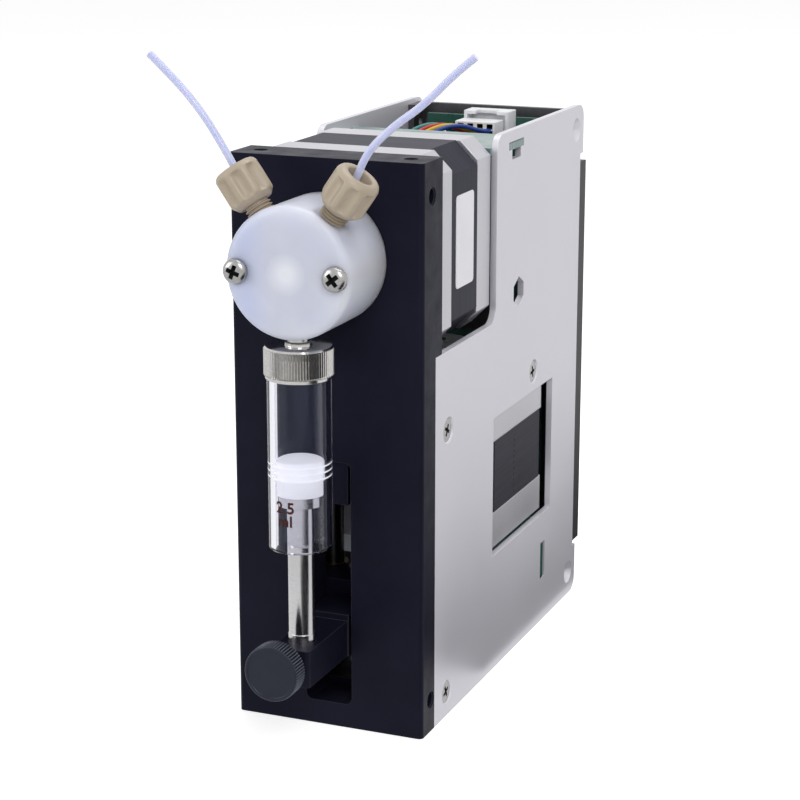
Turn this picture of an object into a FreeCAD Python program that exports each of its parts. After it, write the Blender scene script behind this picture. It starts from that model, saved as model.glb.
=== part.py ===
import FreeCAD, Part
import Sketcher
import math
import os
import re

# Syringe pump module: a black front plate carries the valve and the syringe, two sheet
# panels form the case behind it, and a screw-driven carriage moves the plunger.
# X points right, Y points back, Z points up. The origin is the centre of the front
# plate's bottom face. Millimetres.

sizes = {
    # front plate
    "plateDepth": 10.9,
    "plateMargin": 1.1,
    "plateHeight": 127,
    "plateRound": 1.0,
    "slotWidth": 11,
    "slotBottom": 5.5,
    "slotTopGap": 0.3,
    "slotRound": 1.5,
    # mounting holes tapped in the front plate
    "sideHoleRadius": 1.65,
    "sideHoleSetback": 5.0,
    "sideHoleMargin": 7.5,
    "topHoleRadius": 1.25,
    "topHoleSpread": 17.3,
    "tappedDepth": 8,
    "topHoleDepth": 5,
    "threadLeadIn": 0.3,
    # fixing screws
    "smallScrewRadius": 1.5,
    "smallScrewGap": 0.1,
    "smallHeadRadius": 2.75,
    "smallHeadHeight": 1.9,
    "panelScrewLength": 6,
    "countersink": 1.4,
    # side panels
    "panelThickness": 1.5,
    "panelFront": 7.3,
    "panelRear": 107.2,
    "panelStep": 44.5,
    "panelStepGap": 0.2,
    "panelRound": 3.5,
    "panelFit": 0.1,
    "recessDepth": 2.1,
    "recessBottom": 12,
    "recessTopMargin": 12.2,
    "frontScrewSetback": 15,
    "lowScrewHeight": 5.6,
    "highScrewRise": 2.1,
    "midScrewSetback": 71.7,
    "rearHoleSetback": 101.7,
    "rearHoleMargin": 6,
    "windowGap": 1.2,
    "windowTopGap": 0.3,
    "hexPlace": 60,
    "hexDrop": 38.4,
    "hexWidth": 7,
    "hexTall": 7.2,
    "hexSide": 3.4,
    # frame behind the plate
    "standGap": 0.5,
    "cheekWidth": 6,
    "cheekDepth": 9,
    "cheekRise": 7.5,
    "baseTop": 7,
    "baseDepth": 20,
    "frameFit": 0.05,
    "guideRadius": 2.5,
    "guideMargin": 4.5,
    "screwSetback": 13.1,
    "bearingRadius": 5,
    "bearingWidth": 3,
    "noseWidth": 8.8,
    "noseInset": 1.0,
    "blockWidth": 13,
    "blockDepth": 20,
    "blockTall": 10.1,
    "bracketHeight": 61.5,
    "bracketThickness": 3,
    "bracketRear": 85,
    "flangeThickness": 3,
    "flangeRise": 6,
    "flangeFront": 60,
    "flangeRear": 76,
    # running clearance of every shaft in its bore
    "shaftGap": 0.05,
    # stepping motors
    "motorSide": 42.3,
    "motorCorner": 4.1,
    "statorCorner": 5.2,
    "motorScrewInset": 5.65,
    "motorScrewGrip": 3.5,
    "pilotRadius": 11,
    "pilotHeight": 2,
    "motorShaftRadius": 2.5,
    "statorBore": 12.4,
    "rotorGap": 0.4,
    "bellWall": 3.5,
    "valveMotorBell": 8.2,
    "valveMotorStator": 15.6,
    "valveMotorRear": 8.2,
    "plungerMotorSetback": 63.8,
    "plungerMotorBell": 6.2,
    "plungerMotorStator": 17.3,
    "plungerMotorRear": 8.5,
    "labelWidth": 10.6,
    "labelTall": 20.4,
    "labelThickness": 0.15,
    "labelRound": 1.0,
    # valve
    "valveRadius": 14,
    "valveDepth": 19.6,
    "valveRound": 2.2,
    "valveScrewSpread": 11.1,
    "valveScrewLength": 26,
    "valveScrewHead": 2.7,
    "rotorRadius": 4,
    "rotorDepth": 17,
    "rotorStemRadius": 2.5,
    "couplingRadius": 5,
    "couplingLength": 7.4,
    "couplingBore": 6,
    "portTilt": 35,
    "portRadius": 2.9,
    "portFloor": 7.5,
    "portFlat": 13.2,
    "portFlatRadius": 5.6,
    "passageRadius": 0.75,
    # fittings and tubes
    "nutRadius": 5.05,
    "nutBase": 15.6,
    "nutTop": 24.8,
    "nutTaper": 1.6,
    "nutTipRadius": 3.8,
    "nutMouth": 2.6,
    "fluteRadius": 1.6,
    "fluteCount": 8,
    "tubeRadius": 0.8,
    "tubeFit": 0.05,
    "ferruleLength": 3,
    # encoder and valve sensor board
    "encoderRadius": 13,
    "encoderThickness": 0.8,
    "encoderSetback": 2.4,
    "boardThickness": 1.6,
    "sensorBoardDrop": 4.4,
    "sensorBoardFront": 43.8,
    "sensorBoardRear": 66,
    "sensorTabFront": 52.4,
    "sensorTabRear": 62.1,
    "tabFit": 0.2,
    "stemInset": 2.1,
    "stemDrop": 2.3,
    # syringe
    "syringeReach": 13.7,
    "capRadius": 7.35,
    "capTall": 6.9,
    "capGap": 1.75,
    "capStemRadius": 2.3,
    "capStemDepth": 4.6,
    "barrelRadius": 6.8,
    "barrelBore": 5.15,
    "barrelLength": 41.8,
    "barrelSeatDepth": 2,
    "sealGap": 0.06,
    "rodReach": 33.5,
    "sealNeckLength": 3.1,
    "sealLength": 7,
    "sealNeckRadius": 4.65,
    "sealCollarRadius": 4.5,
    "sealCollarLength": 2.6,
    "rodRadius": 2.85,
    "rodFootRadius": 2.95,
    "rodFootLength": 2.7,
    "rodSpigotRadius": 1.5,
    "rodSpigotLength": 5,
    # carriage and arm
    "carriageSideGap": 0.75,
    "carriageDepth": 18.5,
    "carriageBottom": 16.8,
    "carriageTall": 13,
    "carriageGap": 1.6,
    "nutBodyRadius": 5,
    "bushingRadius": 3.6,
    "armWidth": 8.8,
    "armReach": 20,
    "armTall": 8.2,
    "armRound": 1.0,
    "footSeat": 0.7,
    "uprightWidth": 9.4,
    "uprightInset": 0.3,
    "uprightTall": 9.6,
    # lock knob
    "knobRadius": 6.15,
    "knobRise": 6.1,
    "knobReach": 29.5,
    "knobLength": 4.2,
    "knobNeckRadius": 2.0,
    "knobNeckGap": 0.3,
    "knobStudRadius": 1.5,
    "knobStudLength": 3,
    # screw drive
    "leadRadius": 3,
    "leadEnd": 1,
    "pulleyGap": 1.5,
    "pulleyTall": 8,
    "pulleyRadius": 6.2,
    "pulleyFlangeRadius": 8.2,
    "pulleyFlange": 1,
    "beltGap": 0.3,
    "beltThickness": 1.4,
    "beltEdgeGap": 0.2,
    # boards at the back
    "mainBoardFace": 97,
    "mainBoardWidth": 31,
    "mainBoardBottom": 8,
    "mainBoardDrop": 3,
    "standoffSpread": 12,
    "standoffMargin": 6,
    "standoffRadius": 2.5,
    "headerWidth": 11.6,
    "headerDepth": 5.8,
    "headerTall": 8,
    "headerOffset": 2.2,
    "plugWidth": 10.4,
    "plugLength": 6,
    "plugTall": 4.2,
    "plugRise": 0.9,
    "wayPitch": 2.5,
    "leadWireRadius": 0.55,
    "chipThickness": 1.5,
    "controllerSide": 14,
    "controllerHeight": 77,
    "driverChipWidth": 10,
    "driverChipTall": 7,
    "driverChipHeight": 42,
    "driverChipPitch": 14,
    "driverBoardFace": 79.3,
    "driverBoardBottom": 3,
    "driverBoardTop": 27,
    "driverTabBottom": 11.5,
    "driverTabTop": 20.5,
    # back of the case
    "rearWallThickness": 1.5,
    "rearWallDrop": 1.2,
    "rearWallFlange": 6.5,
    "coverDepth": 4.6,
    "coverBottom": 13.4,
    "coverDrop": 14.4,
    "coverWall": 1.8,
    "connectorTall": 39.2,
    "connectorWidth": 12.5,
    "connectorHeight": 78,
    "connectorShellTall": 25,
    "connectorShellWidth": 8.3,
    "connectorReach": 5.8,
}

doc = FreeCAD.newDocument("SyringePump")
sheet = doc.addObject("Spreadsheet::Sheet", "Sizes")
for row, (alias, number) in enumerate(sizes.items(), start=1):
    sheet.set(f"A{row}", alias)
    sheet.set(f"B{row}", str(number))
    sheet.setAlias(f"B{row}", alias)
doc.recompute()
given = {alias: float(sheet.get(alias)) for alias in sizes}

# places that several pieces share, as formulas on the sheet
plate_front = "(-plateDepth / 2)"
plate_rear = "(plateDepth / 2)"
plate_edge = "(motorSide / 2 + plateMargin)"
panel_inner = f"({plate_edge} - panelThickness)"
carriage_edge = f"({panel_inner} - cheekWidth - carriageSideGap)"
guide_x = f"({carriage_edge} - guideMargin)"
motor_hole = "(motorSide / 2 - motorScrewInset)"
syringe_y = f"({plate_front} - syringeReach)"
lead_y = f"({plate_rear} + screwSetback)"
motor_y = f"({plate_front} + plungerMotorSetback)"
guide_top = "(bracketHeight + bracketThickness)"
high_screw = f"({guide_top} + highScrewRise)"
cheek_top = f"({guide_top} + cheekRise)"
flange_top = f"({guide_top} + flangeRise)"
block_bottom = "(bracketHeight - blockTall)"
slot_top = "(bracketHeight - slotTopGap)"
pulley_low = f"({guide_top} + pulleyGap)"
pulley_high = f"({pulley_low} + pulleyTall)"
lead_top = f"({pulley_high} + leadEnd)"
valve_z = "(plateHeight - motorSide / 2)"
step_z = "(plateHeight - motorSide - panelStepGap)"
recess_top = "(plateHeight - recessTopMargin)"
hex_z = "(plateHeight - hexDrop)"
sensor_z = "(plateHeight - sensorBoardDrop)"
board_top = "(plateHeight - mainBoardDrop)"
wall_top = "(plateHeight - rearWallDrop)"
cover_top = "(plateHeight - coverDrop)"
cap_top = f"({valve_z} - valveRadius - capGap)"
cap_bottom = f"({cap_top} - capTall)"
barrel_top = f"({cap_top} - barrelSeatDepth)"
barrel_bottom = f"({barrel_top} - barrelLength)"
arm_top = "(carriageBottom + armTall)"
upright_top = "(carriageBottom + uprightTall)"
knob_z = "(carriageBottom + knobRise)"
seal_bottom = f"({arm_top} + rodReach)"
seal_shoulder = f"({seal_bottom} + sealNeckLength)"
seal_top = f"({seal_bottom} + sealLength)"

# the same places as numbers, for the pieces that are copied into place
plate_half = given["motorSide"] / 2 + given["plateMargin"]
guide_out = (plate_half - given["panelThickness"] - given["cheekWidth"]
             - given["carriageSideGap"] - given["guideMargin"])
motor_hole_out = given["motorSide"] / 2 - given["motorScrewInset"]
valve_up = given["plateHeight"] - given["motorSide"] / 2
high_screw_up = given["bracketHeight"] + given["bracketThickness"] + given["highScrewRise"]
board_top_up = given["plateHeight"] - given["mainBoardDrop"]

kept = []


def keep(name, thing):
    """Name a finished sub-part and list it for the export."""
    thing.Label = name
    kept.append(thing)
    return thing


def sized(formula):
    """Point every size named in a formula at the sheet."""
    return re.sub(r"\b[A-Za-z]\w*\b(?!\()", lambda found: "Sizes." + found.group(0), formula)


def bind(thing, prop, formula):
    thing.setExpression(prop, sized(formula))


def place(thing, x="0", y="0", z="0", turn=None):
    if turn is not None:
        thing.Placement = FreeCAD.Placement(FreeCAD.Vector(), turn)
    for axis, formula in zip("xyz", (x, y, z)):
        bind(thing, f"Placement.Base.{axis}", formula)
    return thing


def from_front(formula):
    """A distance measured back from the plate's front face."""
    return f"({plate_front} + {formula})"


along_y = FreeCAD.Rotation(FreeCAD.Vector(1, 0, 0), -90)
along_x = FreeCAD.Rotation(FreeCAD.Vector(0, 1, 0), 90)
upside_down = FreeCAD.Rotation(FreeCAD.Vector(1, 0, 0), 180)


def box(name, x, y, z):
    """A block between two places along each axis."""
    block = doc.addObject("Part::Box", name)
    bind(block, "Length", f"({x[1]}) - ({x[0]})")
    bind(block, "Width", f"({y[1]}) - ({y[0]})")
    bind(block, "Height", f"({z[1]}) - ({z[0]})")
    return place(block, x[0], y[0], z[0])


def cylinder(name, radius, low, high, at=("0", "0"), axis="Z"):
    """A round bar from low to high along an axis; at gives the other two places."""
    bar = doc.addObject("Part::Cylinder", name)
    bind(bar, "Radius", radius)
    bind(bar, "Height", f"({high}) - ({low})")
    if axis == "Z":
        return place(bar, at[0], at[1], low)
    if axis == "Y":
        return place(bar, at[0], low, at[1], along_y)
    return place(bar, low, at[0], at[1], along_x)


def fuse(name, pieces):
    joined = doc.addObject("Part::MultiFuse", name)
    joined.Shapes = pieces
    joined.Refine = True
    return joined


def cut(name, base, tools):
    result = doc.addObject("Part::Cut", name)
    result.Base = base
    result.Tool = tools[0] if len(tools) == 1 else fuse(name + "_tools", tools)
    return result


def body(name):
    return doc.addObject("PartDesign::Body", name)


def profile(owner, name, plane, points=(), circles=()):
    """A sketch of one closed outline and any circles, every place bound to the sheet."""
    sketch = owner.newObject("Sketcher::SketchObject", name)
    face = [item for item in owner.Origin.OriginFeatures if item.Role == plane][0]
    sketch.AttachmentSupport = [(face, "")]
    sketch.MapMode = "FlatFace"
    count = len(points)
    ring = []
    for index in range(count):
        start = 2 * math.pi * index / count
        end = 2 * math.pi * (index + 1) / count
        ring.append(Part.LineSegment(
            FreeCAD.Vector(math.cos(start), math.sin(start), 0),
            FreeCAD.Vector(math.cos(end), math.sin(end), 0)))
    if ring:
        sketch.addGeometry(ring, False)
    for index in range(count):
        sketch.addConstraint(Sketcher.Constraint("Coincident", index, 2, (index + 1) % count, 1))
    for index, (across, up) in enumerate(points):
        tie(sketch, "DistanceX", (-1, 1, index, 1, 1.0), across)
        tie(sketch, "DistanceY", (-1, 1, index, 1, 1.0), up)
    for across, up, radius in circles:
        circle = Part.Circle(FreeCAD.Vector(), FreeCAD.Vector(0, 0, 1), 1.0)
        index = sketch.addGeometry(circle, False)
        tie(sketch, "DistanceX", (-1, 1, index, 3, 1.0), across)
        tie(sketch, "DistanceY", (-1, 1, index, 3, 1.0), up)
        tie(sketch, "Radius", (index, 1.0), radius)
    return sketch


def tie(sketch, kind, arguments, formula):
    """Add one named dimension to a sketch and bind it to the sheet."""
    index = sketch.addConstraint(Sketcher.Constraint(kind, *arguments))
    sketch.renameConstraint(index, f"size{index}")
    bind(sketch, f"Constraints.size{index}", formula)


def pad(owner, sketch, length, flipped=False):
    feature = owner.newObject("PartDesign::Pad", sketch.Name + "_pad")
    feature.Profile = sketch
    bind(feature, "Length", length)
    feature.Reversed = flipped
    return feature


def pocket(owner, sketch, depth=None, flipped=False):
    """Cut a sketch out of its body, right through unless a depth is given."""
    feature = owner.newObject("PartDesign::Pocket", sketch.Name + "_pocket")
    feature.Profile = sketch
    if depth is None:
        feature.Type = "ThroughAll"
        feature.SideType = "Symmetric"
    else:
        bind(feature, "Length", depth)
        feature.Reversed = flipped
    return feature


def edges_of(feature, wanted):
    """Names of a feature's edges that a test accepts."""
    doc.recompute()
    edges = feature.Shape.Edges
    return [f"Edge{index + 1}" for index, edge in enumerate(edges) if wanted(edge)]


def fillet(owner, base, wanted, radius):
    feature = owner.newObject("PartDesign::Fillet", base.Name + "_fillet")
    feature.Base = (base, edges_of(base, wanted))
    bind(feature, "Radius", radius)
    return feature


def chamfer(owner, base, wanted, size):
    feature = owner.newObject("PartDesign::Chamfer", base.Name + "_chamfer")
    feature.Base = (base, edges_of(base, wanted))
    bind(feature, "Size", size)
    return feature


def straight_along(edge, direction):
    """Whether an edge is a straight line along a direction."""
    if edge.Curve.TypeId != "Part::GeomLine":
        return False
    return abs(abs(edge.tangentAt(edge.FirstParameter).dot(direction)) - 1) < 1e-6


def circle_of(edge, radius, centre=None, axis=None):
    """Whether an edge is a circle of a radius, at a height along an axis if one is given."""
    if edge.Curve.TypeId != "Part::GeomCircle" or abs(edge.Curve.Radius - radius) > 1e-4:
        return False
    return centre is None or abs(edge.Curve.Center[axis] - centre) < 1e-4


def turned(name, points):
    """A piece turned about its own Z from an outline of (radius, height) places."""
    piece = body(name)
    outline = profile(piece, name + "_outline", "XZ_Plane", points)
    spun = piece.newObject("PartDesign::Revolution", name + "_spun")
    spun.Profile = outline
    spun.ReferenceAxis = (outline, ["V_Axis"])
    spun.Angle = 360
    return piece


def rectangle(low_a, high_a, low_b, high_b):
    return [(low_a, low_b), (high_a, low_b), (high_a, high_b), (low_a, high_b)]


def placed_copies(original, placements):
    doc.recompute()
    copies = []
    for placement in placements:
        copy = original.Shape.copy()
        copy.Placement = placement
        copies.append(copy)
    return copies


def gathered(name, shapes):
    group = doc.addObject("Part::Feature", name)
    group.Shape = Part.makeCompound(shapes)
    return group


def repeated(name, original, placements):
    """One node of identical pieces, each a copy of the original in its place."""
    return gathered(name, placed_copies(original, placements))


def at(x, y, z, turn=None):
    return FreeCAD.Placement(FreeCAD.Vector(x, y, z), turn or FreeCAD.Rotation())


# ---- front plate ----

def front_plate():
    plate = body("plate_blank")
    outline = profile(plate, "plate_outline", "XY_Plane", rectangle(
        f"-{plate_edge}", plate_edge, plate_front, plate_rear))
    slab = pad(plate, outline, "plateHeight")
    front = -given["plateDepth"] / 2
    fillet(plate, slab, lambda edge: straight_along(edge, FreeCAD.Vector(0, 0, 1))
           and edge.CenterOfMass.y < front + 0.1, "plateRound")
    slot = profile(plate, "arm_slot", "XZ_Plane", rectangle(
        "-slotWidth / 2", "slotWidth / 2", "slotBottom", slot_top))
    opened = pocket(plate, slot)
    half_slot = given["slotWidth"] / 2
    fillet(plate, opened, lambda edge: straight_along(edge, FreeCAD.Vector(0, 1, 0))
           and abs(abs(edge.CenterOfMass.x) - half_slot) < 0.01, "slotRound")
    rebates = []
    for side, low, high in (("left", f"-{plate_edge}", f"-{panel_inner}"),
                            ("right", panel_inner, plate_edge)):
        rebates.append(box(side + "_rebate", (low, high), (from_front("panelFront"), plate_rear),
                           ("0", f"{step_z} + panelFit")))
    holes = [
        cylinder("coupling_bore", "couplingRadius + shaftGap * 10", plate_front, plate_rear,
                 ("0", valve_z), "Y"),
        cylinder("pilot_seat", "pilotRadius + frameFit", f"{plate_rear} - pilotHeight - frameFit",
                 plate_rear, ("0", valve_z), "Y"),
    ]
    for sign in ("-", ""):
        holes.append(cylinder("valve_thread", "smallScrewRadius", plate_front,
                              f"{plate_front} + valveScrewLength - valveDepth + frameFit",
                              (sign + "valveScrewSpread", valve_z), "Y"))
        holes += top_hole(sign)
        for up in ("-", "+"):
            holes.append(cylinder("motor_thread", "smallScrewRadius",
                                  f"{plate_rear} - motorScrewGrip - 0.5", plate_rear,
                                  (sign + motor_hole, f"{valve_z} {up} {motor_hole}"),
                                  "Y"))
    for height in ("sideHoleMargin", "plateHeight - sideHoleMargin"):
        holes += side_hole(height)
    return keep("front_plate", cut("front_plate", plate, rebates + holes))


def side_hole(height):
    """A tapped hole in the plate's right side with its lead-in."""
    middle = from_front("sideHoleSetback")
    deep = cylinder("side_thread", "sideHoleRadius", f"{plate_edge} - tappedDepth", plate_edge,
                    (middle, height), "X")
    lead = cylinder("side_lead", "sideHoleRadius + threadLeadIn", f"{plate_edge} - threadLeadIn",
                    plate_edge, (middle, height), "X")
    return [deep, lead]


def top_hole(sign):
    """A tapped hole in the plate's top face with its lead-in."""
    spot = (sign + "topHoleSpread", "0")
    deep = cylinder("top_thread", "topHoleRadius", "plateHeight - topHoleDepth", "plateHeight", spot)
    lead = cylinder("top_lead", "topHoleRadius + threadLeadIn", "plateHeight - threadLeadIn",
                    "plateHeight", spot)
    return [deep, lead]


# ---- side panels ----

def side_panel(name, side):
    """One sheet panel; side is 1 on the right and -1 on the left."""
    panel = body(name)
    rear = from_front("panelRear")
    recess = from_front("(panelRear - recessDepth)")
    front = from_front("panelFront")
    step = from_front("panelStep")
    outline = profile(panel, name + "_outline", "YZ_Plane", [
        (front, "0"), (rear, "0"), (rear, "recessBottom"), (recess, "recessBottom"),
        (recess, recess_top), (rear, recess_top), (rear, "plateHeight"),
        (step, "plateHeight"), (step, step_z), (front, step_z)])
    sheet_metal = pad(panel, outline, "panelThickness")
    middle = -given["plateDepth"] / 2
    rear_at = middle + given["panelRear"]
    step_at = middle + given["panelStep"]
    top = given["plateHeight"]

    def corner(edge):
        if not straight_along(edge, FreeCAD.Vector(1, 0, 0)):
            return False
        y, z = edge.CenterOfMass.y, edge.CenterOfMass.z
        at_rear = abs(y - rear_at) < 0.01 and (z < 0.01 or z > top - 0.01)
        at_step = abs(y - step_at) < 0.01
        return at_rear or at_step

    fillet(panel, sheet_metal, corner, "panelRound")
    pocket(panel, profile(panel, name + "_window", "YZ_Plane", motor_window()))
    pocket(panel, profile(panel, name + "_hex", "YZ_Plane", hex_hole()))
    pocket(panel, profile(panel, name + "_tee", "YZ_Plane", tee_slot()))
    pocket(panel, profile(panel, name + "_low_slot", "YZ_Plane", driver_slot()))
    screw_holes = pocket(panel, profile(panel, name + "_holes", "YZ_Plane",
                                        circles=[(y, z, "smallScrewRadius + smallScrewGap")
                                                 for y, z in panel_hole_places()]))
    outer = given["panelThickness"] if side > 0 else 0
    hole = given["smallScrewRadius"] + given["smallScrewGap"]
    chamfer(panel, screw_holes, lambda edge: circle_of(edge, hole, outer, 0), "countersink")
    place(panel, panel_inner if side > 0 else f"-{plate_edge}")
    return keep(name, panel)


def motor_window():
    """The opening that the plunger motor's sides stand in."""
    reach = "motorSide / 2 + windowGap"
    bottom = "bracketHeight - plungerMotorBell - plungerMotorStator - plungerMotorRear - windowGap"
    return rectangle(f"{motor_y} - {reach}", f"{motor_y} + {reach}",
                     bottom, "bracketHeight + windowTopGap")


def hex_hole():
    middle = from_front("hexPlace")
    return [
        (middle, f"{hex_z} - hexTall / 2"),
        (f"{middle} + hexWidth / 2", f"{hex_z} - hexSide / 2"),
        (f"{middle} + hexWidth / 2", f"{hex_z} + hexSide / 2"),
        (middle, f"{hex_z} + hexTall / 2"),
        (f"{middle} - hexWidth / 2", f"{hex_z} + hexSide / 2"),
        (f"{middle} - hexWidth / 2", f"{hex_z} - hexSide / 2"),
    ]


def tee_slot():
    """The slot for the valve sensor board's tab, with a stem below it."""
    front = from_front("sensorTabFront - tabFit")
    rear = from_front("sensorTabRear + tabFit")
    bottom = sensor_z
    return [
        (front, bottom), (f"{front} + stemInset", bottom),
        (f"{front} + stemInset", f"{bottom} - stemDrop"),
        (f"{rear} - stemInset", f"{bottom} - stemDrop"),
        (f"{rear} - stemInset", bottom), (rear, bottom),
        (rear, f"{bottom} + boardThickness + tabFit"),
        (front, f"{bottom} + boardThickness + tabFit"),
    ]


def driver_slot():
    return rectangle(from_front("driverBoardFace - tabFit"),
                     from_front("driverBoardFace + boardThickness * 2"),
                     "driverTabBottom - tabFit", "driverTabTop + tabFit")


def panel_hole_places():
    """Screwed places first, then the two empty holes at the back."""
    return [
        (from_front("frontScrewSetback"), "lowScrewHeight"),
        (from_front("frontScrewSetback"), high_screw),
        (from_front("midScrewSetback"), high_screw),
        (from_front("rearHoleSetback"), "rearHoleMargin"),
        (from_front("rearHoleSetback"), "plateHeight - rearHoleMargin"),
    ]


def cross_recess(name, across, width, depth):
    """Two crossed bars that cut a screw's drive, from the head's top at Z 0 down."""
    bars = []
    for index, (long_side, short_side) in enumerate(((across, width), (width, across))):
        bars.append(box(f"{name}_bar{index}", (f"-({long_side}) / 2", f"({long_side}) / 2"),
                        (f"-({short_side}) / 2", f"({short_side}) / 2"), (f"-({depth})", "0.5")))
    return bars


def panel_screws():
    """Countersunk screws that hold the panels to the cheeks and to the motor bracket."""
    head = "smallScrewRadius + smallScrewGap + countersink"
    blank = turned("panel_screw_blank", [
        ("0", "-panelScrewLength"), ("smallScrewRadius", "-panelScrewLength"),
        ("smallScrewRadius", "-countersink"), ("smallScrewRadius + smallScrewGap", "-countersink"),
        (head, "0"), ("0", "0")])
    one = cut("panel_screw", blank, cross_recess("panel_drive", "3.2", "0.8", "1.1"))
    front = -given["plateDepth"] / 2
    places = []
    for side in (1, -1):
        turn = FreeCAD.Rotation(FreeCAD.Vector(0, 1, 0), 90 * side)
        for setback, height in (("frontScrewSetback", given["lowScrewHeight"]),
                                ("frontScrewSetback", high_screw_up),
                                ("midScrewSetback", high_screw_up)):
            places.append(at(side * plate_half, front + given[setback], height, turn))
    return keep("panel_screws", repeated("panel_screws", one, places))


# ---- frame behind the plate ----

def cheek(name, side):
    """A square bar on the plate's back that the panel is screwed to."""
    low, high = (panel_inner + " - cheekWidth", panel_inner)
    if side < 0:
        low, high = (f"-{panel_inner}", f"-{panel_inner} + cheekWidth")
    bar = box(name + "_bar", (low, high), (plate_rear, f"{plate_rear} + cheekDepth"),
              ("standGap", cheek_top))
    threads = []
    for height in ("lowScrewHeight", high_screw):
        threads.append(cylinder(name + "_thread", "smallScrewRadius", low, high,
                                (from_front("frontScrewSetback"), height), "X"))
    return keep(name, cut(name, bar, threads))


def base_block():
    """The block that holds the lower ends of the guide rods and of the lead screw."""
    half = f"({panel_inner} - cheekWidth - frameFit)"
    blank = box("base_blank", (f"-{half}", half), (plate_rear, f"{plate_rear} + baseDepth"),
                ("standGap", "baseTop"))
    bores = [cylinder("guide_socket", "guideRadius", "standGap + 1.5", "baseTop",
                      (sign + guide_x, lead_y)) for sign in ("-", "")]
    bores.append(cylinder("lower_bearing_seat", "bearingRadius", "baseTop - bearingWidth",
                          "baseTop", ("0", lead_y)))
    return keep("base_block", cut("base_block", blank, bores))


def bearing_block():
    """The upper bearing's block, whose nose stands in the plate's slot."""
    nose = box("bearing_nose", ("-noseWidth / 2", "noseWidth / 2"),
               (f"{plate_front} + noseInset", plate_rear), (block_bottom, f"{slot_top} - panelFit"))
    back = box("bearing_back", ("-blockWidth / 2", "blockWidth / 2"),
               (plate_rear, f"{plate_rear} + blockDepth"), (block_bottom, "bracketHeight"))
    blank = fuse("bearing_blank", [nose, back])
    bores = [
        cylinder("lead_way", "leadRadius + frameFit * 8", block_bottom, "bracketHeight",
                 ("0", lead_y)),
        cylinder("upper_bearing_seat", "bearingRadius", "bracketHeight - bearingWidth",
                 "bracketHeight", ("0", lead_y)),
    ]
    return keep("bearing_block", cut("bearing_block", blank, bores))


def motor_bracket():
    """The shelf that the plunger motor hangs from, with side flanges for the panel screws."""
    shelf = box("bracket_shelf", (f"-{panel_inner}", panel_inner),
                (f"{plate_rear} + cheekDepth + frameFit", from_front("bracketRear")),
                ("bracketHeight", guide_top))
    half = f"({panel_inner} - cheekWidth - frameFit)"
    tongue = box("bracket_tongue", (f"-{half}", half),
                 (plate_rear, f"{plate_rear} + cheekDepth + frameFit"),
                 ("bracketHeight", guide_top))
    pieces = [shelf, tongue]
    for low, high in ((f"-{panel_inner}", f"-{panel_inner} + flangeThickness"),
                      (f"{panel_inner} - flangeThickness", panel_inner)):
        pieces.append(box("bracket_flange", (low, high),
                          (from_front("flangeFront"), from_front("flangeRear")),
                          (guide_top, flange_top)))
    blank = fuse("bracket_blank", pieces)
    cuts = [
        cylinder("bracket_pilot", "pilotRadius + frameFit", "bracketHeight", guide_top,
                 ("0", motor_y)),
        cylinder("bracket_lead_way", "leadRadius + frameFit * 8", "bracketHeight", guide_top,
                 ("0", lead_y)),
        cylinder("flange_thread", "smallScrewRadius", f"-{panel_inner}", panel_inner,
                 (from_front("midScrewSetback"), high_screw), "X"),
    ]
    for sign in ("-", ""):
        cuts.append(cylinder("guide_hole", "guideRadius", "bracketHeight", guide_top,
                             (sign + guide_x, lead_y)))
        for back in ("-", "+"):
            cuts.append(cylinder("bracket_screw_hole", "smallScrewRadius + smallScrewGap",
                                 "bracketHeight", guide_top,
                                 (sign + motor_hole, f"{motor_y} {back} {motor_hole}")))
    return keep("motor_bracket", cut("motor_bracket", blank, cuts))


def guide_rods():
    rod = cylinder("guide_rod", "guideRadius", "standGap + 1.5", guide_top)
    lead = given["plateDepth"] / 2 + given["screwSetback"]
    bottom = given["standGap"] + 1.5
    places = [at(side * guide_out, lead, bottom) for side in (-1, 1)]
    return keep("guide_rods", repeated("guide_rods", rod, places))


def screw_bearings():
    ring = turned("bearing_ring", [
        ("leadRadius + shaftGap", "0"), ("bearingRadius", "0"),
        ("bearingRadius", "bearingWidth"), ("leadRadius + shaftGap", "bearingWidth")])
    lead = given["plateDepth"] / 2 + given["screwSetback"]
    heights = (given["baseTop"] - given["bearingWidth"],
               given["bracketHeight"] - given["bearingWidth"])
    return keep("screw_bearings",
                repeated("screw_bearings", ring, [at(0, lead, height) for height in heights]))


# ---- stepping motors ----

def motor_section(corner):
    """The motor's square section with cut corners."""
    half = "motorSide / 2"
    inner = f"(motorSide / 2 - {corner})"
    return [
        (f"-{inner}", f"-{half}"), (inner, f"-{half}"), (half, f"-{inner}"), (half, inner),
        (inner, half), (f"-{inner}", half), (f"-{half}", inner), (f"-{half}", f"-{inner}"),
    ]


def motor_screw_circles(radius):
    spread = motor_hole
    return [(a + spread, b + spread, radius) for a in ("-", "") for b in ("-", "")]


def motor_screw_places():
    return [(a * motor_hole_out, b * motor_hole_out) for a in (-1, 1) for b in (-1, 1)]


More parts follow.
